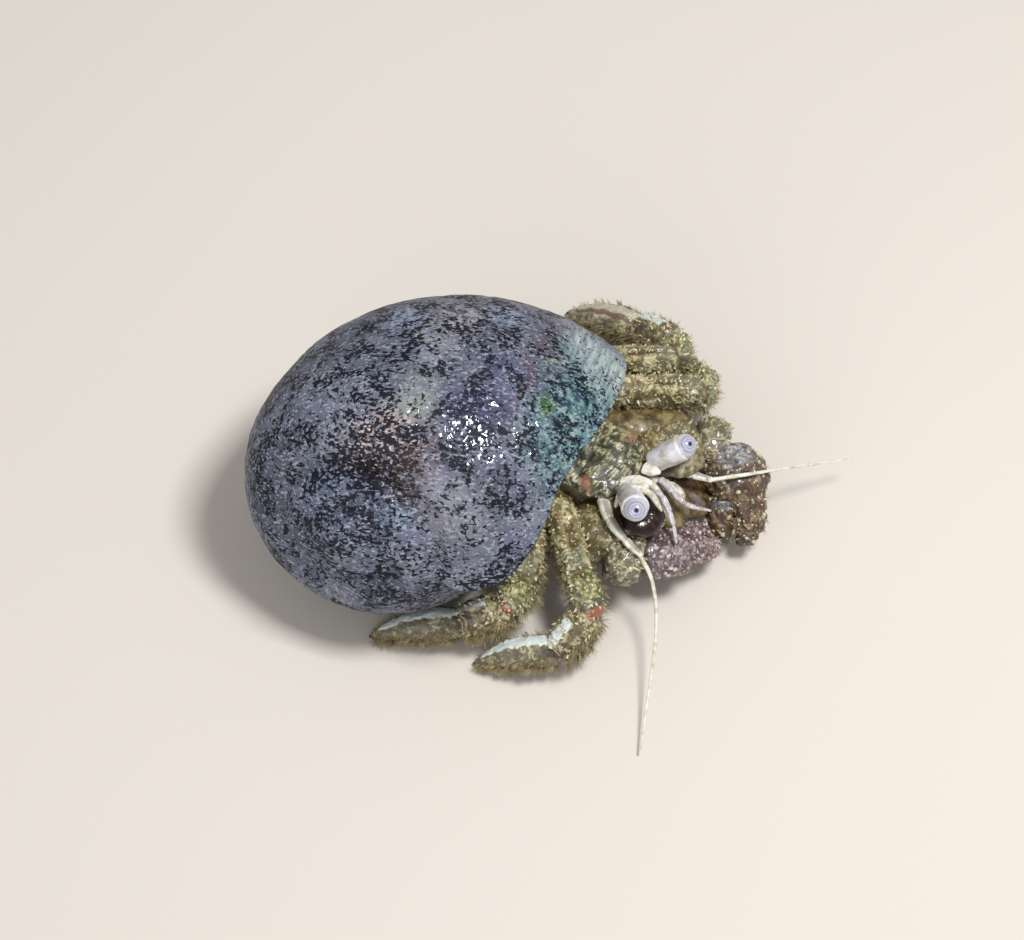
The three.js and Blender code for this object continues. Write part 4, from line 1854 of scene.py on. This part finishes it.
ANTENNULE_STRIPE = Band("#98918f", 0.05, 0.9, 0.27, 0.06, 0.03, 0.5)
ANTENNULE_LOOK = Horn("antennule_horn", "#cfcbd0", "#9d958f", 0.9, 0.3, 0.6, (ANTENNULE_STRIPE,))
WHIP_LOOK = Horn("whip_horn", "#ddd9cc", "#b9b09a", 0.9, 0.4, 0.4)
STALK_LOOK = Horn("eyestalk_horn", "#d3d2da", "#b3b09c", 1.6, 0.25, 0.8)
SPINE_LOOK = Horn("spine_horn", "#d3caa8", "#9b8c62", 0.9, 0.35, 0.4)
KNOB_LOOK = Horn("knob_horn", "#c4bc98", "#857b50", 0.9, 0.35, 0.4)
PALE_GRAIN_LOOK = Horn("grain_pale", "#c2aeb2", "#806a6a", 0.9, 0.35, 0.5)
BRISTLE_LOOK = Horn("bristle_horn", "#b3a379", "#76633e", 1.2, 0.5, 0.2)


# -------- the crab
@dataclass
class WalkingLeg:
    """One walking leg of four plates: merus, carpus, propodus and dactyl, each with spines and bristles."""

    name: str
    joints: Sequence[Place]

    LOOKS = (MERUS_LOOK, CARPUS_LOOK, PROPODUS_LOOK, DACTYL_LOOK)
    PLATES = ("merus", "carpus", "propodus", "dactyl")
    WIDE = ((1.3, 1.7, 1.75, 1.5), (1.3, 1.7, 1.55), (1.5, 2.0, 1.9), (1.6, 1.8, 1.6, 1.05, 0.3))
    HIGH = ((1.8, 2.5, 2.6, 2.1), (1.7, 2.2, 1.9), (1.8, 2.3, 2.1), (1.8, 2.0, 1.65, 1.05, 0.35))
    BOW = (0.0, 0.0, 0.0, 1.0)
    REACH = 0.4  # how far each plate runs on past its joints, in millimetres
    SPINE_LINES = (0.28, 0.2, 0.68, 0.82, 0.42, 0.08)
    SPINES = (14, 8, 9)  # on each line, for each plate but the last
    KNOBS = (140, 70, 60)
    FRINGE = (70, 50, 90, 120)  # tufts, from which each stretch of the fringe takes its share

    def plate(self, number: int) -> Limb:
        """Models one plate.

        Args:
            number: Which plate it is, from the body outwards.

        Returns:
            Its shape.
        """
        start, end = (np.array(joint, float) for joint in self.joints[number : number + 2])
        ahead = (end - start) / np.linalg.norm(end - start)
        tipmost = number == 3
        start, end = start - ahead * self.REACH, end + ahead * self.REACH * (not tipmost)
        middle = (start + end) / 2 + np.array([0, 0, self.BOW[number]])
        limb = Limb([start, middle, end], self.WIDE[number], self.HIGH[number])
        length = limb.line.length
        limb.wrinkles = rugae(0.14 if tipmost else 0.3, 0.62, length)
        edges = (keel(0.68, 0.04, 0.15), keel(0.82, 0.04, 0.15))
        if tipmost:
            edges = (keel(0.25, 0.05, 0.15), keel(0.75, 0.04, 0.1))
            limb.far_round = 1.2
        elif number == 0:
            edges = (keel(0.27, 0.04, -0.4, 0.4, 0.95), keel(0.18, 0.04, 0.2), *edges)
        else:
            edges = (keel(0.24, 0.04, 0.2), *edges)
        lumps = uneven(0.06, 1.0) if tipmost else uneven(0.1, 1.3)
        limb.sculpt = together(*edges, limb.wrinkles, lumps)
        return limb

    def grow(self, growth: Growth, limb: Limb, number: int) -> None:
        """Grows one plate's spines, knobs and bristles.

        Args:
            growth: Gathers them.
            limb: The plate's shape.
            number: Which plate it is, from the body outwards.
        """
        cell = growth.next_cell()
        kind = f"bristles_{self.name}"
        if number < 3:
            for around in self.SPINE_LINES:
                row = Row(around, 0.08, 0.95, self.SPINES[number], 0.42, 0.42, 0.5, 0.02)
                growth.plant_row(limb, row, "spines")
            knobs = Field(ALL_ROUND, (0.08, 0.92), self.KNOBS[number], (0.2, 0.42))
            growth.plant_grains(limb, knobs, "knobs")
        fringe = self.FRINGE[number]
        for area in (
            Field((0.55, 0.95), (0.06, 0.93), fringe * 3, (0.7, 1.9), 0.8),
            Field((0.95, 1.12), (0.1, 0.9), fringe // 2, (0.5, 1.3), 0.6, 1.2),
            Field((0.4, 0.55), (0.1, 0.93), fringe // 2, (0.7, 1.6), 0.6, 1.2),
            Field((0.24, 0.4), (0.1, 0.93), fringe // 3, (0.25, 0.6), 0.6, 1.6),
        ):
            growth.plant_bristles(limb, area, kind, cell)

    def dress(self, growth: Growth, finishes: Finishes) -> None:
        """Builds the leg's plates and what grows on them.

        Args:
            growth: Gathers the spines and bristles.
            finishes: The materials by name.
        """
        side = "right" if "right" in self.name else "left"
        for number, plate in enumerate(self.PLATES):
            limb = self.plate(number)
            name = f"{self.name}_{plate}"
            piece = limb_mesh(f"{name}_plate", limb)
            look = STRIPED_DACTYL_LOOK if plate == "dactyl" and side == "left" else self.LOOKS[number]
            settle(piece, finishes[look.name], Slot.LEG, name)
            self.grow(growth, limb, number)


@dataclass
class Claw:
    """A claw-bearing leg: arm, wrist, palm with its fixed finger, and the finger that would move."""

    name: str
    joints: Sequence[Place]
    knuckle: Place
    tip: Place
    look: Cuticle
    size: float

    SPREAD = 1.4
    PALM_WIDE = (1.6, 2.5, 2.9, 2.8, 1.5, 1.25, 0.9, 0.35)
    PALM_HIGH = (1.6, 2.3, 2.6, 2.4, 1.6, 1.3, 0.9, 0.35)
    FINGER = (1.25, 1.3, 1.0, 0.35)

    def shapes(self) -> dict[str, Limb]:
        """Models the four pieces.

        Returns:
            Their shapes by name.
        """
        base, elbow, wrist = (np.array(joint, float) for joint in self.joints)
        knuckle, tip = np.array(self.knuckle, float), np.array(self.tip, float)
        side = unit(np.cross(tip - knuckle, np.array([0, 0, 1.0])))
        side = (-side if side[0] < 0 else side) * self.SPREAD * self.size
        half = (knuckle + tip) / 2
        fixed = [wrist, (wrist + knuckle) / 2, knuckle + 0.4 * side, half + side, tip + 0.4 * side]
        moving = [knuckle - 0.9 * side, half - side, tip - 0.4 * side]
        ahead = unit(wrist - elbow)
        arm = Limb([base, (base + elbow) / 2, elbow], (1.6, 2.6, 2.9), (1.9, 2.7, 2.6))
        arm.wrinkles = rugae(0.2, 0.6, arm.line.length, 0.2)
        arm.sculpt = together(keel(0.3, 0.05, 0.15), arm.wrinkles, uneven(0.12, 1.6))
        line = [elbow - ahead * 0.8, (elbow + wrist) / 2, wrist + ahead * 0.5]
        band = Limb(line, (2.6, 3.1, 2.6), (2.2, 2.7, 2.3))
        band.wrinkles = rugae(0.28, 0.65, band.line.length)
        band.sculpt = together(band.wrinkles, uneven(0.14, 1.2))
        palm = Limb(fixed, np.array(self.PALM_WIDE) * self.size, np.array(self.PALM_HIGH) * self.size)
        palm.wrinkles = rugae(0.22, 0.7, palm.line.length)
        palm.sculpt = together(palm.wrinkles, uneven(0.2, 1.1), teeth(0.5, 0.05, 5, 0.3, 0.62, 0.95))
        finger = Limb(moving, np.array(self.FINGER) * self.size, np.array(self.FINGER) * self.size)
        finger.wrinkles = rugae(0.18, 0.7, finger.line.length)
        finger.sculpt = together(finger.wrinkles, uneven(0.1, 0.8), teeth(0.0, 0.05, 5, 0.25, 0.2, 0.92))
        return {"merus": arm, "carpus": band, "palm": palm, "finger": finger}

    def dress(self, growth: Growth, finishes: Finishes) -> None:
        """Builds the claw and what grows on it.

        Args:
            growth: Gathers the spines, grains and bristles.
            finishes: The materials by name.
        """
        looks = {"merus": ARM_LOOK, "carpus": WRIST_LOOK, "palm": self.look, "finger": self.look}
        for part, limb in self.shapes().items():
            name = f"{self.name}_{part}"
            slot = Slot.CLAW if part in ("palm", "finger") else Slot.LEG
            settle(limb_mesh(f"{name}_plate", limb, 0.14), finishes[looks[part].name], slot, name)
            self.grow(growth, limb, part)

    def grow(self, growth: Growth, limb: Limb, part: str) -> None:
        """Grows one piece's spines, grains and bristles.

        Args:
            growth: Gathers them.
            limb: The piece's shape.
            part: Which piece it is.
        """
        cell = growth.next_cell()
        if part in ("palm", "finger"):
            kind = "grains" if "right" in self.name else "knobs"
            count = (260 if part == "palm" else 70) * (3 if kind == "grains" else 2) // 3
            growth.plant_grains(limb, Field(ALL_ROUND, (0.08, 0.92), count // 2, (0.35, 0.8), 1.0), kind)
            growth.plant_grains(limb, Field(ALL_ROUND, (0.05, 0.92), count, (0.15, 0.4), 1.0), kind)
            area = Field(ALL_ROUND, (0.1, 0.95), count // 2, (0.4, 1.0))
            growth.plant_bristles(limb, area, "bristles_claws", cell)
        else:
            for around in (0.32, 0.2, 0.12):
                growth.plant_row(limb, Row(around, 0.2, 0.97, 8, 0.75, 0.4), "spines")
            growth.plant_grains(limb, Field(ALL_ROUND, (0.2, 0.95), 60, (0.2, 0.4)), "knobs")
            area = Field(ALL_ROUND, (0.2, 0.95), 110, (0.3, 0.9), 0.8, 1.4)
            growth.plant_bristles(limb, area, "bristles_claws", cell)


@dataclass
class Eye:
    """An eye: a stout stalk and the ringed lens on its end."""

    side: str
    base: Place
    pupil: Place
    gaze: Place
    radius: float = 1.42

    def dress(self, finishes: Finishes) -> None:
        """Builds the eye and paints it.

        Args:
            finishes: The materials by name.
        """
        place = Vector(in_frame(np.array([self.pupil], float))[0])
        clear_selection()
        bpy.ops.mesh.primitive_uv_sphere_add(segments=64, ring_count=48, radius=self.radius * MM)
        lens = bpy.context.object
        lens.name = lens.data.name = f"cornea_{self.side}_lens"
        turn = Vector(self.gaze).to_track_quat("Z", "Y").to_matrix().to_4x4()
        lens.data.transform(turn)
        lens.data.transform(Matrix.Translation(place))
        bpy.ops.object.shade_smooth()
        settle(lens, finishes["ringed_lens"], Slot.CORNEA, f"cornea_{self.side}")
        base, pupil = np.array(self.base), np.array(self.pupil)
        ahead = unit((pupil - base)[None])[0]
        end = pupil + ahead * 0.1
        girth = (1.25, 1.4, 1.55, 1.66)
        stalk = Limb([base, base + (end - base) * 0.45, end], girth, girth, 2.0)
        stalk.far_round = 0.6
        stalk.sculpt = uneven(0.06, 1.2)
        piece = limb_mesh(f"eyestalk_{self.side}_plate", stalk, 0.12)
        settle(piece, finishes[STALK_LOOK.name], Slot.FEELER, f"eyestalk_{self.side}")


@dataclass
class Feeler:
    """A feeler, or another slender piece of the head: one smooth length with grooves or rings."""

    node: str
    path: Sequence[Place]
    wide: Sequence[float]
    high: Sequence[float]
    joints: Sequence[float] = ()
    rings: int = 0
    look: Horn = FEELER_LOOK
    bristles: int = 0
    modelled: bool = True  # whether a CAD node stands for it

    SIDES = 16
    CELL = 0.1  # the length of a face, in millimetres

    def dress(self, growth: Growth, finishes: Finishes) -> None:
        """Builds the piece, paints it and grows its fringe.

        Args:
            growth: Gathers the bristles.
            finishes: The materials by name.
        """
        limb = Limb(self.path, self.wide, self.high, 2.0, 0.3, 0.3)
        reliefs = [uneven(0.03, 0.8)]
        if self.joints:
            reliefs.append(notch(self.joints, 0.14, 0.018))
        if self.rings:
            reliefs.append(rings_of(self.rings, 0.05))
        limb.sculpt = together(*reliefs)
        count = int(np.clip(limb.line.length / self.CELL, 12, 420))
        piece = wrapped(f"{self.node}_piece", self.SIDES, ring_spacing(count), limb.place)
        nodes = [self.node] if self.modelled else []
        settle(piece, finishes[self.look.name], Slot.FEELER, *nodes)
        if self.bristles:
            area = Field(ALL_ROUND, (0.1, 0.98), self.bristles, (0.3, 0.8), lean=0.6)
            growth.plant_bristles(limb, area, "bristles_claws", growth.next_cell())


FEELER_FORMS = {  # the shapes and looks of each kind
    "peduncle": {
        "wide": (0.78, 0.64, 0.5, 0.34),
        "high": (0.78, 0.64, 0.5, 0.34),
        "joints": (0.35, 0.68),
        "look": PEDUNCLE_LOOK,
        "bristles": 20,
    },
    "acicle": {"wide": (0.5, 0.45, 0.2), "high": (0.4, 0.35, 0.2)},
    "flagellum": {
        "wide": (0.28, 0.22, 0.18, 0.12),
        "high": (0.28, 0.22, 0.18, 0.12),
        "rings": 70,
        "look": WHIP_LOOK,
    },
    "antennule": {
        "wide": (0.5, 0.42, 0.3, 0.17),
        "high": (0.5, 0.42, 0.3, 0.17),
        "joints": (0.3, 0.55, 0.75),
        "look": ANTENNULE_LOOK,
    },
    "ocular_scale": {"wide": (0.8, 0.85, 0.3), "high": (0.35, 0.35, 0.25)},
    "maxilliped": {
        "wide": (0.9, 0.95, 0.8, 0.4),
        "high": (1, 1, 0.85, 0.4),
        "joints": (0.4, 0.7),
        "bristles": 90,
    },
    "eye_rim": {
        "wide": (0.25, 0.5, 0.5, 0.4, 0.25),
        "high": (0.3, 0.45, 0.45, 0.4, 0.25),
        "modelled": False,
    },
    "eye_lid": {
        "wide": (0.2, 0.4, 0.45, 0.4, 0.2),
        "high": (0.25, 0.4, 0.45, 0.4, 0.2),
        "modelled": False,
    },
}
FEELER_PATHS = {
    "antenna_right_peduncle": ((22.9, -0.2, 12.6), (25.4, -2.3, 12.9), (28, -3.2, 12.5), (30.5, -3.3, 11.2)),
    "eye_rim_right": (
        *((23.4, 0.4, 13.7), (24.3, 2.5, 14.3), (26.2, 3.7, 14.2)),
        *((28.2, 3.6, 13.5), (30, 2.4, 12.4)),
    ),
    "eye_lid_right": (
        *((25, -0.7, 13.2), (24.9, 0.3, 14.6), (26.1, 1.5, 15.9)),
        *((27.8, 2.1, 15.3), (29.8, 1.8, 13.6)),
    ),
    "antenna_right_acicle": ((25.6, -0.7, 12.2), (28.6, -0.9, 12.3)),
    "antenna_right_flagellum": (
        *((30, -3.2, 11.4), (32.4, -4.2, 9.6), (34.6, -6.2, 7)),
        *((36.8, -9.7, 5), (39.1, -14.4, 2.6), (41.8, -19.8, 1)),
    ),
    "antenna_left_peduncle": ((24, 7.6, 12), (28.6, 8.3, 12.2), (31.6, 9.9, 11)),
    "antenna_left_acicle": ((26.3, 9.2, 12.6), (29, 10.6, 12.8)),
    "antenna_left_flagellum": ((31.2, 9.6, 11.1), (34.2, 12.8, 10.8), (38.1, 18.8, 8.2), (42, 24.6, 5.6)),
    "antennule_right": ((26.2, 3.9, 13.4), (28.6, 3.4, 13.6), (30.9, 2.2, 12.4), (32.7, 0.6, 10.8)),
    "antennule_left": ((26.9, 5.6, 12.8), (31.3, 4.8, 12.4), (33.8, 6.2, 11.4)),
    "ocular_scale_right": ((24.9, 3.1, 14.5), (27.2, 2.7, 14.9)),
    "ocular_scale_left": ((24.9, 4.9, 14.5), (27.2, 5.3, 14.9)),
    "maxilliped_right": ((25, 2.7, 10.6), (28.8, 2.2, 10.4), (29.6, 3, 7.4)),
    "maxilliped_left": ((25, 5.5, 10.6), (28.8, 6.4, 10.4), (29.4, 6.4, 7.4)),
}


@dataclass
class Head:
    """The shield, eyes, feelers and mouthparts."""

    shield_path: Sequence[Place] = ((16.2, 3.2, 13.2), (20.8, 3.6, 13.5), (25.1, 4.0, 13.0))
    shield_wide: Sequence[float] = (4.0, 4.6, 4.7, 4.2, 1.6)
    shield_high: Sequence[float] = (1.2, 1.6, 1.7, 1.5, 0.7)

    def shield(self) -> Limb:
        """Models the shield: a low vault with wrinkles and a groove across it.

        Returns:
            Its shape.
        """
        limb = Limb(self.shield_path, self.shield_wide, self.shield_high, 2.6, 1.0, 1.4)
        length = limb.line.length
        limb.wrinkles = rugae(0.22, 0.45, length)
        groove, edge = notch((0.35,), 0.12, 0.03), keel(0.0, 0.02, 0.2)
        limb.sculpt = together(limb.wrinkles, uneven(0.08, 1.2), groove, edge)
        return limb

    def dress(self, growth: Growth, finishes: Finishes) -> None:
        """Builds the head's pieces.

        Args:
            growth: Gathers the bristles.
            finishes: The materials by name.
        """
        limb = self.shield()
        settle(limb_mesh("shield_plate", limb, 0.14), finishes[SHIELD_LOOK.name], Slot.CARAPACE, "shield")
        down = Field((0.0, 0.5), (0.1, 0.95), 90, (0.25, 0.6), lean=1.2)
        growth.plant_bristles(limb, down, "bristles_claws", growth.next_cell())
        Eye("right", (24.8, 1.9, 13.5), PUPIL_RIGHT, (0.36, -0.45, 0.82)).dress(finishes)
        Eye("left", (25, 6.1, 13.5), (27.9, 9.1, 16.4), (0.5, 0.0, 0.87)).dress(finishes)
        for node, path in FEELER_PATHS.items():
            form = next(form for kind, form in FEELER_FORMS.items() if kind in node)
            Feeler(node, path, **form).dress(growth, finishes)


@dataclass
class SoftBody:
    """The soft hind body and the skin between the plates, as one skin."""

    legs: Sequence[WalkingLeg]
    claws: Sequence[Claw]
    shell: MoonSnailShell
    voxel: float = 0.2  # the finished skin's cell, in millimetres

    MIDLINE = 3.6  # where the crab's own middle lies between its left and right
    FLESH = ("carapace", "abdomen", "leg4_right", "leg4_left", "leg5_right", "leg5_left")
    FOLDS = ("eye_fold_right", "eye_fold_left")
    # a dark fold of skin round the right eye that stands in for the shade in the hollow there
    SHADED_FOLD_RIGHT = ((25.6, 1.2, 12.3), (28.0, 0.1, 12.7), (30.2, -1.0, 12.0))
    LEFT_FOLD = ((26.4, 7.0, 12.2), (28.2, 9.3, 12.8), (29.8, 11.0, 12.3))
    # skin under the mouthparts that fills the gap between the claws; its brown is partly painted shade
    SHADED_JAW_ROOT = ((26.2, 6.4, 8.0), (29.6, 8.4, 7.0), (31.6, 9.8, 6.2))
    LEFT_FLANK = ((15.5, 9.4, 8.6), (20.5, 13.3, 8.2), (24.4, 16.4, 7.6))
    CARAPACE = ((25, 4.1, 11.2), (18, 3.6, 10.8), (12, 2.2, 13.2), (8.6, 0.2, 16.8))

    def lengths(self) -> list[Limb]:
        """Models the rounded lengths that the skin is made from.

        Returns:
            Their shapes.
        """
        inner = [(9.4, 0.8, 15.8), (6.2, -1.2, 18.8)]
        for back in (0.2, 0.3, 0.4, 0.5, 0.6):
            middle = self.shell.middle(np.array([back]))[0]
            outer = self.shell.place(np.array([0.0]), np.array([back]), np.array([0.0]))[0]
            inner.append(tuple(middle + 0.3 * (outer - middle)))
        girth = (3.4, 3.7, 4.2, 4.3, 4, 3.3, 2.3)
        small = (0.8, 0.75, 0.7, 0.5)
        parts = [
            Limb(self.SHADED_FOLD_RIGHT, (2.0, 2.9, 2.8, 1.6), (0.8, 1, 1, 0.6), 2.0, 1.6, 1.6, uneven(0.15, 1.2)),
            Limb([(23.4, 0.8, 11.6), (25.2, -0.6, 12), (27, -1.8, 11.8)], (1.3, 1.6, 1.2), (0.9, 1.1, 0.9)),
            Limb(self.LEFT_FOLD, (1.2, 1.9, 1.8, 1.0), (0.6, 0.8, 0.8, 0.5), 2.0, 1.4, 1.4, uneven(0.3, 0.8)),
            Limb([(24, 4.2, 9.4), (28, 4.4, 9.2), (31.4, 4.6, 8)], (2.6, 3.4, 3, 1.8), (1.8, 2.2, 1.9, 1)),
            Limb(self.SHADED_JAW_ROOT, (1.9, 2.7, 2.3), (1.3, 1.6, 1.2), 2.0, 1.4, 1.4, uneven(0.25, 0.8)),
            Limb(self.LEFT_FLANK, (1.8, 2.2, 1.7), (1.2, 1.4, 1.0), 2.0, 1.4, 1.4, uneven(0.25, 1.2)),
            Limb(self.CARAPACE, (2.4, 4.2, 4.3, 4.2, 3.6), (1.5, 2.7, 3, 3.2, 3.2)),
            Limb(inner, girth, girth, 2.0, 2.0, 2.0, notch((0.3, 0.45, 0.6, 0.75), 0.25, 0.03)),
            Limb([(12.5, -0.8, 12), (13.6, -3.6, 12.8), (16.4, -4.8, 11.2)], small, small),
            Limb([(12.5, 7.8, 12), (13.6, 11, 13), (16.2, 12, 11.6)], small, small),
            Limb([(10, -1.6, 15.2), (10.8, -4, 17.2), (13.6, -5, 18)], small, small),
            Limb([(10, 6.6, 14.5), (10.4, 9.6, 16), (13, 10.4, 16)], small, small),
        ]
        for limb in [*self.legs, *self.claws]:
            joints = [np.array(joint, float) for joint in limb.joints]
            ends = joints[1:] if isinstance(limb, Claw) else joints[1:-1]
            for before, joint in zip(joints, ends):
                back = unit((before - joint)[None])[0]
                line = [joint + back, joint, joint - back * 0.9]
                parts.append(Limb(line, (0.9, 1.15, 0.9), (1.1, 1.4, 1.1)))
            hip = joints[0]
            side = self.MIDLINE + math.copysign(3.0, hip[1] - self.MIDLINE)
            trunk = np.array([min(hip[0] - 1.0, 17.0), side, 11.0])
            line = [trunk, (trunk + hip) / 2, hip + (joints[1] - hip) * 0.1]
            parts.append(Limb(line, (1.6, 1.5, 1.2), (1.8, 1.8, 1.6)))
        return parts

    def dress(self, finishes: Finishes) -> None:
        """Builds the skin and paints it.

        Args:
            finishes: The materials by name.
        """
        made = [limb_mesh(f"skin_{number}", limb, 0.4) for number, limb in enumerate(self.lengths())]
        clear_selection()
        for piece in made:
            piece.select_set(True)
        bpy.context.view_layer.objects.active = made[0]
        bpy.ops.object.join()
        skin = bpy.context.object
        skin.name = skin.data.name = "soft_skin"
        remesh = skin.modifiers.new("one_skin", "REMESH")
        remesh.mode = "VOXEL"
        remesh.voxel_size = self.voxel * MM
        bpy.ops.object.modifier_apply(modifier=remesh.name)
        soften = skin.modifiers.new("soften", "SMOOTH")
        soften.iterations = 6
        bpy.ops.object.modifier_apply(modifier=soften.name)
        bpy.ops.object.shade_smooth()
        settle(skin, finishes["soft_membrane"], Slot.SKIN, *self.FLESH, *self.FOLDS)


LEG_JOINTS = {  # hip, three joints and tip
    "leg2_right": (
        *((17, -1.4, 9.4), (25.5, -9, 10.2), (29.1, -11.1, 7.7)),
        *((27.6, -15.9, 4.4), (19.3, -21.2, 0.3)),
    ),
    "leg3_right": (
        *((13.8, -1.4, 9), (20.9, -12.6, 9.4), (20.7, -15.6, 7.1)),
        *((16.6, -19.1, 4.3), (7.3, -25.3, 0.3)),
    ),
    "leg2_left": ((14, 13, 9.5), (23.3, 19.9, 9.2), (21.8, 23, 6.4), (16, 23.4, 3.5), (8, 20.4, 0.3)),
    "leg3_left": (
        *((9.5, 14.6, 9.2), (18.4, 21.6, 9.6), (16.8, 24.9, 7.4)),
        *((11.2, 25.9, 4.4), (0.8, 24.7, 0.3)),
    ),
}


@dataclass
class HermitCrab:
    """The whole animal, apart from its shell."""

    shell: MoonSnailShell

    def finishes(self) -> Finishes:
        """Mixes every finish once.

        Returns:
            The materials by name.
        """
        plates = (MERUS_LOOK, CARPUS_LOOK, PROPODUS_LOOK, DACTYL_LOOK, STRIPED_DACTYL_LOOK)
        plates += (ARM_LOOK, WRIST_LOOK, RIGHT_CLAW_LOOK, LEFT_CLAW_LOOK, SHIELD_LOOK)
        horns = (FEELER_LOOK, PEDUNCLE_LOOK, ANTENNULE_LOOK, WHIP_LOOK, STALK_LOOK)
        horns += (SPINE_LOOK, PALE_GRAIN_LOOK, KNOB_LOOK, BRISTLE_LOOK)
        return {look.name: look.material() for look in (*plates, *horns, SoftSkin(), EyeLens())}

    def dress(self) -> None:
        """Builds the crab."""
        finishes = self.finishes()
        growth = Growth()
        legs = [WalkingLeg(name, joints) for name, joints in LEG_JOINTS.items()]
        claws = [
            Claw(
                "claw_right",
                [(20.6, 0, 9), (26.8, -4.2, 9), (29.6, -2.6, 8.2)],
                knuckle=(32.4, 2.8, 6.8),
                tip=(34.1, 7.4, 3.9),
                look=RIGHT_CLAW_LOOK,
                size=1.0,
            ),
            Claw(
                "claw_left",
                [(20.8, 7.6, 8.8), (26.8, 14.6, 8.8), (29.2, 16.1, 8)],
                knuckle=(33.9, 12.2, 6.6),
                tip=(36.2, 7.7, 3.5),
                look=LEFT_CLAW_LOOK,
                size=1.3,
            ),
        ]
        for leg in legs:
            leg.dress(growth, finishes)
        for claw in claws:
            claw.dress(growth, finishes)
        Head().dress(growth, finishes)
        SoftBody(legs, claws, self.shell).dress(finishes)
        looks = {
            "spines": (SPINE_LOOK, Slot.LEG),
            "knobs": (KNOB_LOOK, Slot.LEG),
            "grains": (PALE_GRAIN_LOOK, Slot.CLAW),
        }
        for kind, copies in growth.kinds.items():
            look, slot = looks.get(kind, (BRISTLE_LOOK, Slot.LEG))
            name = COAT_MAP if kind.startswith("bristles") else "UVMap"
            settle(copies.joined(kind, name), finishes[look.name], slot)


# -------- the studio
@dataclass
class Studio:
    """A pale floor, soft lamps and the camera."""

    aim: tuple[float, float, float] = (10.0, 0.0, 6.0)  # in the crab's own axes
    azimuth: float = 35.0
    elevation: float = 60.0
    distance: float = 420.0
    lens: float = 125.1
    floor_side: float = 3.0  # metres
    key_watts: float = 1.5
    key_side: float = 0.08  # metres
    fill_watts: float = 1.5
    world: float = 0.42

    def build(self) -> None:
        """Sets the floor, the camera, the lamps and the world."""
        aim = Vector(in_frame(np.array([self.aim]))[0])
        back = Vector(direction(self.azimuth - 90, self.elevation))
        right = Vector(direction(self.azimuth, 0))
        upward = back.cross(right)
        clear_selection()
        bpy.ops.object.camera_add()
        camera = bpy.context.object
        camera.rotation_mode = "QUATERNION"
        camera.location = aim + back * self.distance * MM
        camera.rotation_quaternion = (-back).to_track_quat("-Z", "Y")
        camera.data.lens = self.lens
        camera.data.sensor_width = 36
        camera.data.clip_start, camera.data.clip_end = 0.01, 20
        bpy.context.scene.camera = camera
        way = back * 0.86 + right * 0.3 + upward * 0.36
        self.lamp("key_lamp", aim, way, 0.4, self.key_side, self.key_watts)
        self.lamp("fill_lamp", aim, back * 0.6 - right * 0.5 - upward * 0.5, 0.6, 0.5, self.fill_watts)
        world = bpy.data.worlds.new("studio")
        world.use_nodes = True
        world.node_tree.nodes["Background"].inputs[0].default_value = (1, 1, 1, 1)
        world.node_tree.nodes["Background"].inputs[1].default_value = self.world
        bpy.context.scene.world = world
        clear_selection()
        bpy.ops.mesh.primitive_plane_add(size=self.floor_side, location=(0, 0, -0.00002))
        floor = bpy.context.object
        floor.name = "floor"
        floor.data.materials.append(PaintedFloor().material())
        bpy.context.scene.view_settings.view_transform = "Standard"

    def lamp(self, name: str, aim: Vector, way: Vector, away: float, side: float, watts: float) -> None:
        """Hangs one soft lamp that faces the model.

        Args:
            name: The lamp's name.
            aim: What it faces.
            way: The way from the model to the lamp.
            away: Its distance, in metres.
            side: Its size, in metres.
            watts: Its power.
        """
        clear_selection()
        bpy.ops.object.light_add(type="AREA")
        lamp = bpy.context.object
        lamp.name = name
        lamp.rotation_mode = "QUATERNION"
        lamp.location = aim + way.normalized() * away
        lamp.rotation_quaternion = (-way).to_track_quat("-Z", "Y")
        lamp.data.size = side
        lamp.data.energy = watts


def main() -> None:
    """Builds the studio and each part of the animal in turn."""
    logging.basicConfig(level=logging.INFO, format="%(message)s")
    Studio().build()
    shell = MoonSnailShell()
    shell.dress()
    HermitCrab(shell).dress()


if __name__ == "__main__":
    main()
